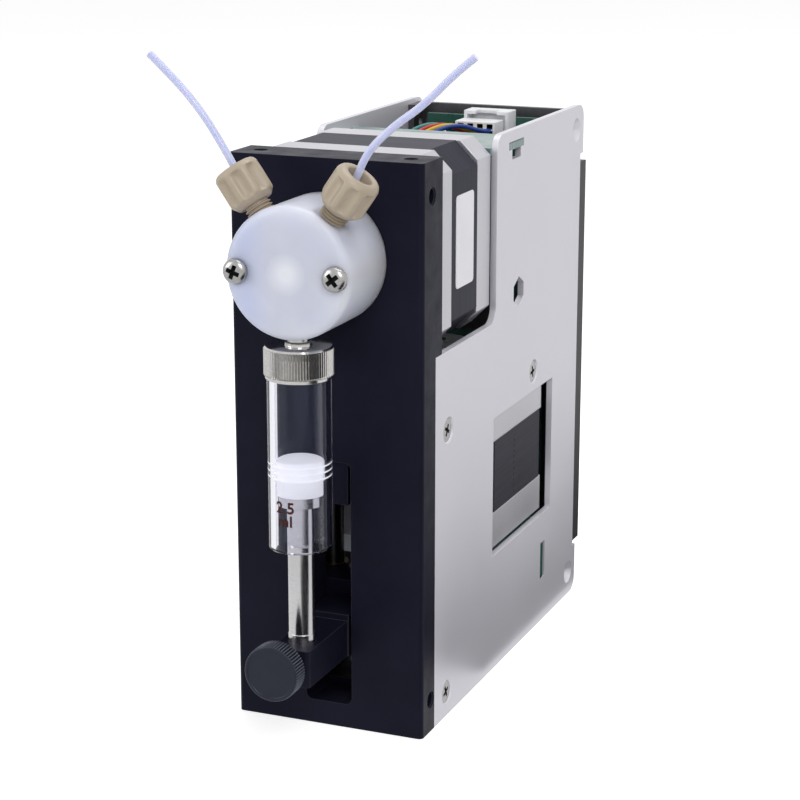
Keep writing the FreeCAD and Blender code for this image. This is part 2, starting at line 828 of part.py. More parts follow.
def motor_bell(name, low, length, pilot):
    """An end bell from low up along the motor's axis; the cavity faces the stator."""
    bell = body(name)
    outline = profile(bell, name + "_outline", "XY_Plane", motor_section("motorCorner"))
    bind(outline, "AttachmentOffset.Base.z", low)
    pad(bell, outline, length)
    holes = profile(bell, name + "_holes", "XY_Plane",
                    circles=motor_screw_circles("smallScrewRadius + smallScrewGap"))
    pocket(bell, holes)
    if pilot:
        boss = profile(bell, name + "_boss", "XY_Plane", circles=[("0", "0", "pilotRadius")])
        pad(bell, boss, "pilotHeight", True)
    else:
        seats = profile(bell, name + "_seats", "XY_Plane",
                        circles=motor_screw_circles("smallHeadRadius + smallScrewGap"))
        bind(seats, "AttachmentOffset.Base.z", f"{low} + {length} - smallHeadHeight")
        pocket(bell, seats, "smallHeadHeight", True)
    shaft = profile(bell, name + "_shaft_way", "XY_Plane",
                    circles=[("0", "0", "motorShaftRadius + shaftGap")])
    pocket(bell, shaft)
    cavity_low = f"{low} + bellWall" if pilot else low
    cavity = profile(bell, name + "_cavity", "XY_Plane", circles=[("0", "0", "statorBore")])
    bind(cavity, "AttachmentOffset.Base.z", cavity_low)
    pocket(bell, cavity, f"({length}) - bellWall", True)
    return bell


def motor_stator(name, low, length):
    core = body(name)
    outline = profile(core, name + "_outline", "XY_Plane", motor_section("statorCorner"))
    bind(outline, "AttachmentOffset.Base.z", low)
    pad(core, outline, length)
    pocket(core, profile(core, name + "_bore", "XY_Plane",
                         circles=[("0", "0", "statorBore")]))
    pocket(core, profile(core, name + "_holes", "XY_Plane",
                         circles=motor_screw_circles("smallScrewRadius + smallScrewGap")))
    return core


def motor_shaft(name, low, high, rotor_low, rotor_high):
    """The shaft with its magnet rotor, along the motor's axis."""
    return turned(name, [
        ("0", low), ("motorShaftRadius", low), ("motorShaftRadius", rotor_low),
        ("statorBore - rotorGap", rotor_low), ("statorBore - rotorGap", rotor_high),
        ("motorShaftRadius", rotor_high), ("motorShaftRadius", high), ("0", high)])


def long_screw(name, length):
    """A pan-head screw hanging down from Z 0, where its head sits."""
    blank = turned(name + "_blank", [
        ("0", f"-({length})"), ("smallScrewRadius", f"-({length})"), ("smallScrewRadius", "0"),
        ("smallHeadRadius", "0"), ("smallHeadRadius", "smallHeadHeight * 0.6"),
        ("smallHeadRadius * 0.7", "smallHeadHeight"), ("0", "smallHeadHeight")])
    drive = cross_recess(name + "_drive", "2.8", "0.7", "1")
    for bar in drive:
        bind(bar, "Placement.Base.z", "smallHeadHeight - 1")
    return cut(name, blank, drive)


def valve_motor():
    spots = {"x": "0", "y": plate_rear, "z": valve_z, "turn": along_y}
    stator_low = "valveMotorBell"
    rear_low = "(valveMotorBell + valveMotorStator)"
    end = "(valveMotorBell + valveMotorStator + valveMotorRear)"
    keep("valve_motor_front_bell",
         place(motor_bell("valve_motor_front_bell", "0", "valveMotorBell", True), **spots))
    keep("valve_motor_stator",
         place(motor_stator("valve_motor_stator", stator_low, "valveMotorStator"), **spots))
    keep("valve_motor_rear_bell",
         place(motor_bell("valve_motor_rear_bell", rear_low, "valveMotorRear", False), **spots))
    front_end = "-(plateDepth - couplingLength / 2 - 0.8)"
    keep("valve_motor_shaft", place(motor_shaft(
        "valve_motor_shaft", front_end, f"{end} + encoderSetback + encoderThickness + 0.6",
        "bellWall + 1", f"{end} - bellWall - 1"), **spots))
    length = sum(given[part] for part in ("valveMotorBell", "valveMotorStator", "valveMotorRear"))
    screw = long_screw("valve_motor_screw", f"{end} - smallHeadHeight + motorScrewGrip")
    back = given["plateDepth"] / 2 + length - given["smallHeadHeight"]
    places = [at(x, back, valve_up + z, along_y) for x, z in motor_screw_places()]
    keep("valve_motor_screws", repeated("valve_motor_screws", screw, places))
    valve_motor_label()
    encoder_disc(end)


def valve_motor_label():
    """A blank sticker on the stator's right side."""
    label = body("valve_motor_label")
    low = f"{plate_rear} + valveMotorBell + valveMotorStator / 2 - labelWidth / 2"
    middle = f"{valve_z} + 0.8"
    outline = profile(label, "label_outline", "YZ_Plane", rectangle(
        low, f"{low} + labelWidth", f"{middle} - labelTall / 2", f"{middle} + labelTall / 2"))
    sticker = pad(label, outline, "labelThickness")
    fillet(label, sticker, lambda edge: straight_along(edge, FreeCAD.Vector(1, 0, 0)), "labelRound")
    keep("valve_motor_label", place(label, "motorSide / 2"))


def encoder_disc(motor_end):
    """The slotted disc on the valve motor's rear shaft that reports the port."""
    disc = body("encoder_disc")
    low = f"{motor_end} + encoderSetback"
    rim = profile(disc, "encoder_rim", "XY_Plane", circles=[("0", "0", "encoderRadius")])
    bind(rim, "AttachmentOffset.Base.z", low)
    pad(disc, rim, "encoderThickness")
    pocket(disc, profile(disc, "encoder_bore", "XY_Plane", circles=[("0", "0", "motorShaftRadius")]))
    notch = profile(disc, "encoder_notch", "XY_Plane",
                    rectangle("-0.8", "0.8", "encoderRadius - 3", "encoderRadius + 1"))
    cutting = pocket(disc, notch)
    pattern = disc.newObject("PartDesign::PolarPattern", "encoder_notches")
    pattern.Originals = [cutting]
    pattern.Axis = (notch, ["N_Axis"])
    pattern.Angle = 360
    pattern.Occurrences = 12
    disc.Tip = pattern
    keep("encoder_disc", place(disc, "0", plate_rear, valve_z, along_y))


def plunger_motor():
    spots = {"x": "0", "y": motor_y, "z": "bracketHeight", "turn": upside_down}
    rear_low = "(plungerMotorBell + plungerMotorStator)"
    end = "(plungerMotorBell + plungerMotorStator + plungerMotorRear)"
    keep("plunger_motor_upper_bell",
         place(motor_bell("plunger_motor_upper_bell", "0", "plungerMotorBell", True), **spots))
    keep("plunger_motor_stator", place(motor_stator(
        "plunger_motor_stator", "plungerMotorBell", "plungerMotorStator"), **spots))
    keep("plunger_motor_lower_bell", place(
        motor_bell("plunger_motor_lower_bell", rear_low, "plungerMotorRear", False), **spots))
    keep("plunger_motor_shaft", place(motor_shaft(
        "plunger_motor_shaft", f"-({pulley_high} + 0.5 - bracketHeight)", f"{end} - 1",
        "bellWall + 1", f"{end} - bellWall - 1"), **spots))
    plunger_motor_screws()


def plunger_motor_screws():
    """Short screws down through the bracket, long ones up through the motor."""
    short = long_screw("bracket_screw", "bracketThickness + plungerMotorBell - 1.5")
    long = long_screw("stack_screw",
                      "plungerMotorRear - smallHeadHeight + plungerMotorStator + 0.7")
    middle = -given["plateDepth"] / 2 + given["plungerMotorSetback"]
    top = given["bracketHeight"] + given["bracketThickness"]
    stack = sum(given[part] for part in ("plungerMotorBell", "plungerMotorStator",
                                         "plungerMotorRear"))
    bottom = given["bracketHeight"] - stack + given["smallHeadHeight"]
    from_top = [at(x, middle + y, top) for x, y in motor_screw_places()]
    from_below = [at(x, middle + y, bottom, upside_down) for x, y in motor_screw_places()]
    keep("plunger_motor_screws", gathered(
        "plunger_motor_screws", placed_copies(short, from_top) + placed_copies(long, from_below)))


# ---- valve ----

def port_way(name, tilt):
    """The tapped port, its flat and its passage, along a line out of the valve's centre."""
    way = fuse(name, [
        cylinder(name + "_passage", "passageRadius", "0", "portFloor"),
        cylinder(name + "_thread", "portRadius", "portFloor", "valveRadius + 2"),
        cylinder(name + "_flat", "portFlatRadius", "portFlat", "valveRadius + 2"),
    ])
    turn = FreeCAD.Rotation(FreeCAD.Vector(0, 1, 0), given["portTilt"] * tilt)
    return place(way, "0", syringe_y, valve_z, turn)


def valve_body():
    disc = body("valve_blank")
    face = profile(disc, "valve_face", "XZ_Plane", circles=[("0", valve_z, "valveRadius")])
    bind(face, "AttachmentOffset.Base.z", "plateDepth / 2")
    drum = pad(disc, face, "valveDepth")
    front = -given["plateDepth"] / 2 - given["valveDepth"]
    fillet(disc, drum, lambda edge: circle_of(edge, given["valveRadius"], front, 1), "valveRound")
    cuts = [
        cylinder("rotor_bore", "rotorRadius", f"{plate_front} - rotorDepth", plate_front,
                 ("0", valve_z), "Y"),
        cylinder("syringe_port", "capStemRadius", f"{valve_z} - valveRadius",
                 f"{valve_z} - valveRadius + capStemDepth", ("0", syringe_y)),
        cylinder("syringe_passage", "passageRadius", f"{valve_z} - valveRadius",
                 valve_z, ("0", syringe_y)),
        port_way("right_port", 1),
        port_way("left_port", -1),
    ]
    for sign in ("-", ""):
        cuts.append(cylinder("valve_screw_way", "smallScrewRadius + smallScrewGap",
                             f"{plate_front} - valveDepth", plate_front,
                             (sign + "valveScrewSpread", valve_z), "Y"))
    keep("valve_body", cut("valve_body", disc, cuts))


def valve_screws():
    """Pan-head screws through the valve body into the plate."""
    blank = turned("valve_screw_blank", [
        ("0", "-valveScrewLength"), ("smallScrewRadius", "-valveScrewLength"),
        ("smallScrewRadius", "0"), ("valveScrewHead", "0"), ("valveScrewHead", "0.7"),
        ("valveScrewHead * 0.86", "1.35"), ("valveScrewHead * 0.5", "1.8"), ("0", "1.9")])
    drive = cross_recess("valve_drive_cut", "2.9", "0.8", "1.2")
    for bar in drive:
        bind(bar, "Placement.Base.z", "0.7")
    one = cut("valve_screw", blank, drive)
    towards_front = FreeCAD.Rotation(FreeCAD.Vector(1, 0, 0), 90)
    front = -given["plateDepth"] / 2 - given["valveDepth"]
    places = [at(side * given["valveScrewSpread"], front, valve_up, towards_front)
              for side in (-1, 1)]
    keep("valve_screws", repeated("valve_screws", one, places))


def valve_rotor():
    """The turning plug of the valve with its stem, along Y from the valve's front."""
    rotor = turned("rotor_blank", [
        ("0", "-rotorDepth + shaftGap"), ("rotorRadius - shaftGap", "-rotorDepth + shaftGap"),
        ("rotorRadius - shaftGap", "0"), ("rotorStemRadius", "0"),
        ("rotorStemRadius", "couplingLength / 2 + 0.8"), ("0", "couplingLength / 2 + 0.8")])
    place(rotor, "0", plate_front, valve_z, along_y)
    groove = box("rotor_groove", ("-passageRadius", "passageRadius"),
                 (f"{syringe_y} - passageRadius", f"{syringe_y} + passageRadius"),
                 (f"{valve_z} - rotorRadius", valve_z))
    keep("valve_rotor", cut("valve_rotor", rotor, [groove]))


def valve_coupling():
    """The sleeve that joins the rotor's stem to the motor's shaft inside the plate."""
    sleeve = turned("valve_coupling", [
        ("motorShaftRadius", "0"), ("couplingRadius", "0"),
        ("couplingRadius", "couplingLength"), ("motorShaftRadius", "couplingLength")])
    keep("valve_coupling", place(sleeve, "0", f"{plate_front} + 0.8", valve_z, along_y))


# ---- fittings and tubes ----

def fitting(name, side):
    """A fluted finger nut screwed into a port; its own Z runs out of the valve's centre."""
    blank = turned(name + "_blank", [
        ("tubeRadius + tubeFit", "portFloor + ferruleLength"),
        ("portRadius", "portFloor + ferruleLength"), ("portRadius", "nutBase"),
        ("nutTipRadius", "nutBase"), ("nutRadius", "nutBase + nutTaper"),
        ("nutRadius", "nutTop - nutTaper * 0.6"), ("nutRadius - nutTaper * 0.6", "nutTop"),
        ("nutMouth", "nutTop"), ("tubeRadius + tubeFit", "nutTop - nutMouth * 2")])
    flutes = []
    for index in range(int(given["fluteCount"])):
        angle = 2 * math.pi * (index + 0.5) / given["fluteCount"]
        reach = "(nutRadius + fluteRadius * 0.62)"
        flutes.append(cylinder(f"{name}_flute{index}", "fluteRadius", "nutBase - 1", "nutTop + 1",
                               (f"{reach} * {math.cos(angle):.6f}",
                                f"{reach} * {math.sin(angle):.6f}")))
    nut = cut(name, blank, flutes)
    turn = FreeCAD.Rotation(FreeCAD.Vector(0, 1, 0), given["portTilt"] * side)
    return keep(name, place(nut, "0", syringe_y, valve_z, turn))


def ferrules():
    """The sealing cones in the bottoms of the two ports."""
    cone = turned("ferrule", [
        ("tubeRadius + tubeFit", "portFloor"), ("portRadius * 0.55", "portFloor"),
        ("portRadius", "portFloor + ferruleLength"),
        ("tubeRadius + tubeFit", "portFloor + ferruleLength")])
    middle = -given["plateDepth"] / 2 - given["syringeReach"]
    places = []
    for side in (-1, 1):
        turn = FreeCAD.Rotation(FreeCAD.Vector(0, 1, 0), given["portTilt"] * side)
        places.append(at(0, middle, valve_up, turn))
    keep("ferrules", repeated("ferrules", cone, places))


def tube_start(side):
    """Two places on the port's axis: inside the nut and at its mouth."""
    tilt = math.radians(given["portTilt"]) * side
    middle = -given["plateDepth"] / 2 - given["syringeReach"]
    out = FreeCAD.Vector(math.sin(tilt), 0, math.cos(tilt))
    centre = FreeCAD.Vector(0, middle, valve_up)
    return [centre + out * (given["nutBase"] - 1), centre + out * (given["nutTop"] - 2.8)]


def cord_wire(points):
    """Straight runs joined by tangent arcs, as one wire."""
    edges = []
    start = points[0]
    radii = []
    for before, corner, after in zip(points, points[1:], points[2:]):
        incoming = corner - before
        outgoing = after - corner
        turn = incoming.getAngle(outgoing)
        reach = 0.45 * min(incoming.Length, outgoing.Length)
        radii.append(reach / math.tan(turn / 2))
        come = incoming.normalize()
        leave = outgoing.normalize()
        first = corner - come * reach
        last = corner + leave * reach
        sag = (leave - come).normalize() * (radii[-1] / math.cos(turn / 2) - radii[-1])
        edges.append(Part.LineSegment(start, first).toShape())
        edges.append(Part.Arc(first, corner + sag, last).toShape())
        start = last
    edges.append(Part.LineSegment(start, points[-1]).toShape())
    return Part.Wire(edges), radii


def cord_solid(name, points, radius):
    """A round cord along a route, with its length and bends printed."""
    wire, radii = cord_wire(points)
    section = Part.Circle(points[0], points[1] - points[0], radius).toShape()
    solid = wire.makePipeShell([Part.Wire(section)], True, False)
    swept = wire.Length * math.pi * radius ** 2
    print(f"{name}: length {wire.Length:.1f}, volume {solid.Volume:.1f} against {swept:.1f},"
          f" radii {[round(bend, 1) for bend in radii]}")
    return solid


def tube(name, side, route):
    """A short free tube out of its nut and up into the air."""
    points = tube_start(side) + [FreeCAD.Vector(*place_on_route) for place_on_route in route]
    keep(name, gathered(name, [cord_solid(name, points, given["tubeRadius"])]))


left_route = [
    (-16.9, -19.2, 131.0),
    (-21.6, -19.5, 137.9),
    (-27.2, -19.8, 143.9),
    (-32.6, -19.9, 148.6),
]
right_route = [
    (15.5, -19.1, 130.9),
    (21.0, -18.8, 136.2),
    (27.6, -18.1, 140.9),
    (33.4, -17.2, 147.0),
    (37.6, -16.5, 150.4),
]


# ---- syringe and plunger ----

def syringe_cap():
    cap = turned("syringe_cap", [
        ("barrelRadius", cap_bottom), ("capRadius - 0.35", cap_bottom),
        ("capRadius - 0.35", f"{cap_bottom} + 0.9"), ("capRadius", f"{cap_bottom} + 1.2"),
        ("capRadius", f"{cap_top} - 0.3"), ("capRadius - 0.3", cap_top), ("capStemRadius", cap_top),
        ("capStemRadius", f"{valve_z} - valveRadius + capStemDepth"),
        ("passageRadius", f"{valve_z} - valveRadius + capStemDepth"),
        ("passageRadius", barrel_top), ("barrelRadius", barrel_top)])
    keep("syringe_cap", place(cap, "0", syringe_y))


def glass_barrel():
    barrel = turned("glass_barrel", [
        ("barrelBore + 0.4", barrel_bottom), ("barrelRadius - 0.3", barrel_bottom),
        ("barrelRadius", f"{barrel_bottom} + 0.3"), ("barrelRadius", barrel_top),
        ("barrelBore", barrel_top), ("barrelBore", f"{barrel_bottom} + 0.8")])
    keep("glass_barrel", place(barrel, "0", syringe_y))


def plunger_seal():
    """The soft head that wipes the barrel, with two shallow grooves."""
    lip = "(barrelBore - sealGap)"
    points = [("0", seal_bottom), ("sealNeckRadius", seal_bottom),
              ("sealNeckRadius", seal_shoulder), (lip, seal_shoulder)]
    for groove in ("1.1", "2.4"):
        points += [(lip, f"{seal_shoulder} + {groove}"),
                   (f"{lip} - 0.3", f"{seal_shoulder} + {groove} + 0.15"),
                   (f"{lip} - 0.3", f"{seal_shoulder} + {groove} + 0.35"),
                   (lip, f"{seal_shoulder} + {groove} + 0.5")]
    points += [(lip, f"{seal_top} - 0.5"), (f"{lip} - 0.5", seal_top), ("0", seal_top)]
    keep("plunger_seal", place(turned("plunger_seal", points), "0", syringe_y))


def plunger_rod():
    foot = f"({arm_top} - footSeat)"
    rod = turned("plunger_rod", [
        ("0", f"{foot} - rodSpigotLength"), ("rodSpigotRadius", f"{foot} - rodSpigotLength"),
        ("rodSpigotRadius", foot), ("rodFootRadius", foot),
        ("rodFootRadius", f"{foot} + rodFootLength"), ("rodRadius", f"{foot} + rodFootLength"),
        ("rodRadius", f"{seal_bottom} - sealCollarLength"),
        ("sealCollarRadius", f"{seal_bottom} - sealCollarLength"),
        ("sealCollarRadius", seal_bottom), ("0", seal_bottom)])
    keep("plunger_rod", place(rod, "0", syringe_y))


# ---- carriage and screw drive ----

def carriage_block():
    front = f"({plate_rear} + carriageGap)"
    top = "(carriageBottom + carriageTall)"
    blank = box("carriage_blank", (f"-{carriage_edge}", carriage_edge),
                (front, f"{front} + carriageDepth"), ("carriageBottom", top))
    bores = [cylinder("nut_seat", "nutBodyRadius", "carriageBottom", top, ("0", lead_y))]
    for sign in ("-", ""):
        bores.append(cylinder("bushing_seat", "bushingRadius", "carriageBottom", top,
                              (sign + guide_x, lead_y)))
    keep("carriage_block", cut("carriage_block", blank, bores))


def lead_nut():
    nut = turned("lead_nut", [
        ("leadRadius + shaftGap", "0"), ("nutBodyRadius", "0"),
        ("nutBodyRadius", "carriageTall"), ("leadRadius + shaftGap", "carriageTall")])
    keep("lead_nut", place(nut, "0", lead_y, "carriageBottom"))


def guide_bushings():
    ring = turned("guide_bushing", [
        ("guideRadius + shaftGap", "0"), ("bushingRadius", "0"),
        ("bushingRadius", "carriageTall"), ("guideRadius + shaftGap", "carriageTall")])
    lead = given["plateDepth"] / 2 + given["screwSetback"]
    places = [at(side * guide_out, lead, given["carriageBottom"]) for side in (-1, 1)]
    keep("guide_bushings", repeated("guide_bushings", ring, places))


def drive_arm():
    """The arm that reaches through the slot and carries the plunger rod's foot."""
    arm = body("arm_blank")
    outline = profile(arm, "arm_outline", "XY_Plane", rectangle(
        "-armWidth / 2", "armWidth / 2", f"{plate_front} - armReach",
        f"{plate_front} + uprightInset"))
    bind(outline, "AttachmentOffset.Base.z", "carriageBottom")
    bar = pad(arm, outline, f"{arm_top} - carriageBottom")
    tip = -given["plateDepth"] / 2 - given["armReach"]
    fillet(arm, bar, lambda edge: straight_along(edge, FreeCAD.Vector(0, 0, 1))
           and edge.CenterOfMass.y < tip + 0.1, "armRound")
    upright = box("arm_upright", ("-uprightWidth / 2", "uprightWidth / 2"),
                  (f"{plate_front} + uprightInset", f"{plate_rear} + carriageGap"),
                  ("carriageBottom", upright_top))
    blank = fuse("arm_joined", [arm, upright])
    seats = [
        cylinder("foot_seat", "rodFootRadius", f"{arm_top} - footSeat", arm_top, ("0", syringe_y)),
        cylinder("spigot_seat", "rodSpigotRadius", f"{arm_top} - footSeat - rodSpigotLength",
                 arm_top, ("0", syringe_y)),
        cylinder("stud_seat", "knobStudRadius + shaftGap", f"{plate_front} - armReach",
                 f"{plate_front} - armReach + knobStudLength + shaftGap",
                 ("0", knob_z), "Y"),
    ]
    keep("drive_arm", cut("drive_arm", blank, seats))


def lock_knob():
    """The thumbscrew in the arm's front; its own Z runs back along Y from its face."""
    neck_end = "(knobReach - armReach - knobNeckGap)"
    end = "(knobReach - armReach + knobStudLength)"
    knob = turned("lock_knob", [
        ("0", "0"), ("knobRadius - 0.4", "0"), ("knobRadius", "0.4"),
        ("knobRadius", "knobLength"), ("knobNeckRadius", "knobLength"),
        ("knobNeckRadius", neck_end), ("knobStudRadius", neck_end),
        ("knobStudRadius", end), ("0", end)])
    keep("lock_knob", place(knob, "0", f"{plate_front} - knobReach", knob_z, along_y))


def lead_screw():
    screw = turned("lead_screw", [
        ("0", "baseTop - bearingWidth"), ("leadRadius", "baseTop - bearingWidth"),
        ("leadRadius", lead_top), ("0", lead_top)])
    keep("lead_screw", place(screw, "0", lead_y))


def pulley(name, bore, y):
    """A flanged belt pulley."""
    wheel = turned(name, [
        (bore, pulley_low), ("pulleyFlangeRadius", pulley_low),
        ("pulleyFlangeRadius", f"{pulley_low} + pulleyFlange"),
        ("pulleyRadius", f"{pulley_low} + pulleyFlange"),
        ("pulleyRadius", f"{pulley_high} - pulleyFlange"),
        ("pulleyFlangeRadius", f"{pulley_high} - pulleyFlange"), ("pulleyFlangeRadius", pulley_high),
        (bore, pulley_high)])
    keep(name, place(wheel, "0", y))


def drive_belt():
    """The flat loop of the belt around both pulleys."""
    low = f"({pulley_low} + pulleyFlange + beltEdgeGap)"
    high = f"({pulley_high} - pulleyFlange - beltEdgeGap)"

    def loop(name, radius):
        ends = [cylinder(f"{name}_{end}", radius, low, high, ("0", y))
                for end, y in (("front", lead_y), ("back", motor_y))]
        middle = box(name + "_middle", (f"-({radius})", radius), (lead_y, motor_y), (low, high))
        return fuse(name, ends + [middle])

    outer = loop("belt_outer", "pulleyRadius + beltGap + beltThickness")
    inner = loop("belt_inner", "pulleyRadius + beltGap")
    keep("drive_belt", cut("drive_belt", outer, [inner]))


# ---- boards and wiring ----

def sensor_board():
    """The level board behind the valve motor, held by its tabs in the panels' slots."""
    board = body("sensor_board")
    inner = panel_inner
    outer = f"({plate_edge})"
    front, rear = from_front("sensorBoardFront"), from_front("sensorBoardRear")
    tab_front, tab_rear = from_front("sensorTabFront"), from_front("sensorTabRear")
    outline = profile(board, "sensor_board_outline", "XY_Plane", [
        (f"-{inner}", front), (inner, front), (inner, tab_front), (outer, tab_front),
        (outer, tab_rear), (inner, tab_rear), (inner, rear), (f"-{inner}", rear),
        (f"-{inner}", tab_rear), (f"-{outer}", tab_rear), (f"-{outer}", tab_front),
        (f"-{inner}", tab_front)])
    bind(outline, "AttachmentOffset.Base.z", sensor_z)
    pad(board, outline, "boardThickness")
    keep("sensor_board", board)


def optical_sensor():
    """The fork that the encoder disc's rim runs in, under the sensor board."""
    end = f"({plate_rear} + valveMotorBell + valveMotorStator + valveMotorRear)"
    disc_low = f"({end} + encoderSetback)"
    bottom = f"({valve_z} + encoderRadius - 4)"
    fork = box("fork_blank", ("-6", "6"), (f"{disc_low} - 1.9", f"{disc_low} + encoderThickness + 3"),
               (bottom, sensor_z))
    gap = box("fork_gap", ("-7", "7"), (f"{disc_low} - 0.6", f"{disc_low} + encoderThickness + 0.6"),
              (f"{bottom} - 1", f"{valve_z} + encoderRadius + 0.8"))
    keep("optical_sensor", cut("optical_sensor", fork, [gap]))


def main_board():
    face = from_front("mainBoardFace")
    board = box("main_board_blank", ("-mainBoardWidth / 2", "mainBoardWidth / 2"),
                (face, f"{face} + boardThickness"), ("mainBoardBottom", board_top))
    holes = []
    for sign in ("-", ""):
        for height in ("mainBoardBottom + standoffMargin", f"{board_top} - standoffMargin"):
            holes.append(cylinder("board_hole", "smallScrewRadius", face,
                                  f"{face} + boardThickness", (sign + "standoffSpread", height),
                                  "Y"))
    keep("main_board", cut("main_board", board, holes))


def board_corner_places(y):
    heights = (given["mainBoardBottom"] + given["standoffMargin"],
               board_top_up - given["standoffMargin"])
    return [(side * given["standoffSpread"], y, height) for side in (-1, 1) for height in heights]


def board_standoffs():
    """Posts between the main board and the rear wall."""
    front = -given["plateDepth"] / 2
    low = front + given["mainBoardFace"] + given["boardThickness"]
    post = turned("standoff", [
        ("smallScrewRadius", "0"), ("standoffRadius", "0"),
        ("standoffRadius", "panelRear - recessDepth - rearWallThickness - mainBoardFace"
                           " - boardThickness"),
        ("smallScrewRadius", "panelRear - recessDepth - rearWallThickness - mainBoardFace"
                             " - boardThickness")])
    keep("board_standoffs", repeated(
        "board_standoffs", post, [at(*spot, along_y) for spot in board_corner_places(low)]))


def board_screws():
    screw = long_screw("board_screw", "boardThickness + 3.5")
    face = -given["plateDepth"] / 2 + given["mainBoardFace"]
    towards_front = FreeCAD.Rotation(FreeCAD.Vector(1, 0, 0), 90)
    keep("board_screws", repeated(
        "board_screws", screw, [at(*spot, towards_front) for spot in board_corner_places(face)]))


def board_chips():
    """The controller and the two motor drivers on the main board's front."""
    face = from_front("mainBoardFace")
    depth = (f"{face} - chipThickness", face)
    keep("controller_chip", box("controller_chip", ("-controllerSide / 2", "controllerSide / 2"),
                                depth, ("controllerHeight - controllerSide / 2",
                                        "controllerHeight + controllerSide / 2")))
    drivers = []
    for index in ("0", "1"):
        low = f"(driverChipHeight + {index} * driverChipPitch)"
        drivers.append(box("driver_chip", ("-driverChipWidth / 2", "driverChipWidth / 2"), depth,
                           (low, f"{low} + driverChipTall")))
    keep("driver_chips", fuse("driver_chips", drivers))


def motor_header():
    """The white socket on the main board that the valve motor's plug goes into."""
    face = from_front("mainBoardFace")
    low = "(headerOffset - headerWidth / 2)"
    high = "(headerOffset + headerWidth / 2)"
    shell = box("header_shell", (low, high), (f"{face} - headerDepth", face),
                ("plateHeight - 1 - headerTall", "plateHeight - 1"))
    keep("motor_header", shell)


def motor_plug():
    """The crimp housing with its four wire ways facing the front."""
    back = f"({from_front('mainBoardFace')} - headerDepth)"
    middle = "(headerOffset - 0.6)"
    low = "(plateHeight - headerTall + plugRise)"
    housing = box("plug_blank", (f"{middle} - plugWidth / 2", f"{middle} + plugWidth / 2"),
                  (f"{back} - plugLength", back), (low, f"{low} + plugTall"))
    ways = []
    for step in ("-1.5", "-0.5", "0.5", "1.5"):
        across = f"{middle} + {step} * wayPitch"
        ways.append(box("wire_way", (f"{across} - 0.85", f"{across} + 0.85"),
                        (f"{back} - plugLength", f"{back} - plugLength + 2.5"),
                        (f"{low} + plugTall / 2 - 0.85", f"{low} + plugTall / 2 + 0.85")))
    keep("motor_plug", cut("motor_plug", housing, ways))


def motor_leads():
    """Four wires from the valve motor's rear bell, up behind the sensor board to the plug."""
    front = -given["plateDepth"] / 2
    start_y = given["plateDepth"] / 2 + sum(
        given[part] for part in ("valveMotorBell", "valveMotorStator", "valveMotorRear"))
    end_y = front + given["mainBoardFace"] - given["headerDepth"] - given["plugLength"] + 2
    end_z = given["plateHeight"] - given["headerTall"] + given["plugRise"] + given["plugTall"] / 2
    start_z = valve_up + 11.3
    leads = []
    for index in range(4):
        start_x = -16.4 + 1.3 * index
        end_x = given["headerOffset"] - 0.6 + (index - 1.5) * given["wayPitch"]
        across = end_x - start_x
        points = [
            FreeCAD.Vector(start_x, start_y, start_z),
            FreeCAD.Vector(start_x, start_y + 7, start_z),
            FreeCAD.Vector(start_x + 0.6, start_y + 14.5, start_z - 1),
            FreeCAD.Vector(start_x + 0.15 * across, start_y + 22, start_z - 0.4),
            FreeCAD.Vector(start_x + 0.4 * across, start_y + 28.5, end_z + 0.6),
            FreeCAD.Vector(start_x + 0.72 * across, start_y + 34, end_z + 2.6),
            FreeCAD.Vector(end_x, end_y - 5.3, end_z),
            FreeCAD.Vector(end_x, end_y, end_z),
        ]
        leads.append(cord_solid("motor lead", points, given["leadWireRadius"]))
    keep("motor_leads", gathered("motor_leads", leads))


def driver_board():
    """The upright board under the plunger motor, held by its tabs in the panels' low slots."""
    board = body("driver_board")
    inner = panel_inner
    outer = f"({plate_edge})"
    outline = profile(board, "driver_board_outline", "XZ_Plane", [
        (f"-{inner}", "driverBoardBottom"), (inner, "driverBoardBottom"),
        (inner, "driverTabBottom"), (outer, "driverTabBottom"), (outer, "driverTabTop"),
        (inner, "driverTabTop"), (inner, "driverBoardTop"), (f"-{inner}", "driverBoardTop"),
        (f"-{inner}", "driverTabTop"), (f"-{outer}", "driverTabTop"),
        (f"-{outer}", "driverTabBottom"), (f"-{inner}", "driverTabBottom")])
    pad(board, outline, "boardThickness", True)
    keep("driver_board", place(board, "0", from_front("driverBoardFace")))


# ---- back of the case ----

def connector_opening(name, low, high):
    half_tall = "(connectorShellTall / 2 + 0.3)"
    half_wide = "(connectorShellWidth / 2 + 0.3)"
    return box(name, (f"-{half_wide}", half_wide), (low, high),
               (f"connectorHeight - {half_tall}", f"connectorHeight + {half_tall}"))


def rear_wall():
    """The steel back of the case, with flanges along both side panels."""
    outer = from_front("(panelRear - recessDepth)")
    inner = f"({outer} - rearWallThickness)"
    wall = box("wall_sheet", (f"-{panel_inner}", panel_inner), (inner, outer),
               ("standGap", wall_top))
    pieces = [wall]
    for low, high in ((f"-{panel_inner}", f"-{panel_inner} + rearWallThickness"),
                      (f"{panel_inner} - rearWallThickness", panel_inner)):
        pieces.append(box("wall_flange", (low, high), (f"{inner} - rearWallFlange", inner),
                          ("standGap", wall_top)))
    blank = fuse("wall_blank", pieces)
    cuts = [connector_opening("wall_opening", inner, outer)]
    for height in ("rearHoleMargin", "plateHeight - rearHoleMargin"):
        cuts.append(cylinder("wall_thread", "topHoleRadius", f"-{panel_inner}", panel_inner,
                             (from_front("rearHoleSetback"), height), "X"))
    keep("rear_wall", cut("rear_wall", blank, cuts))


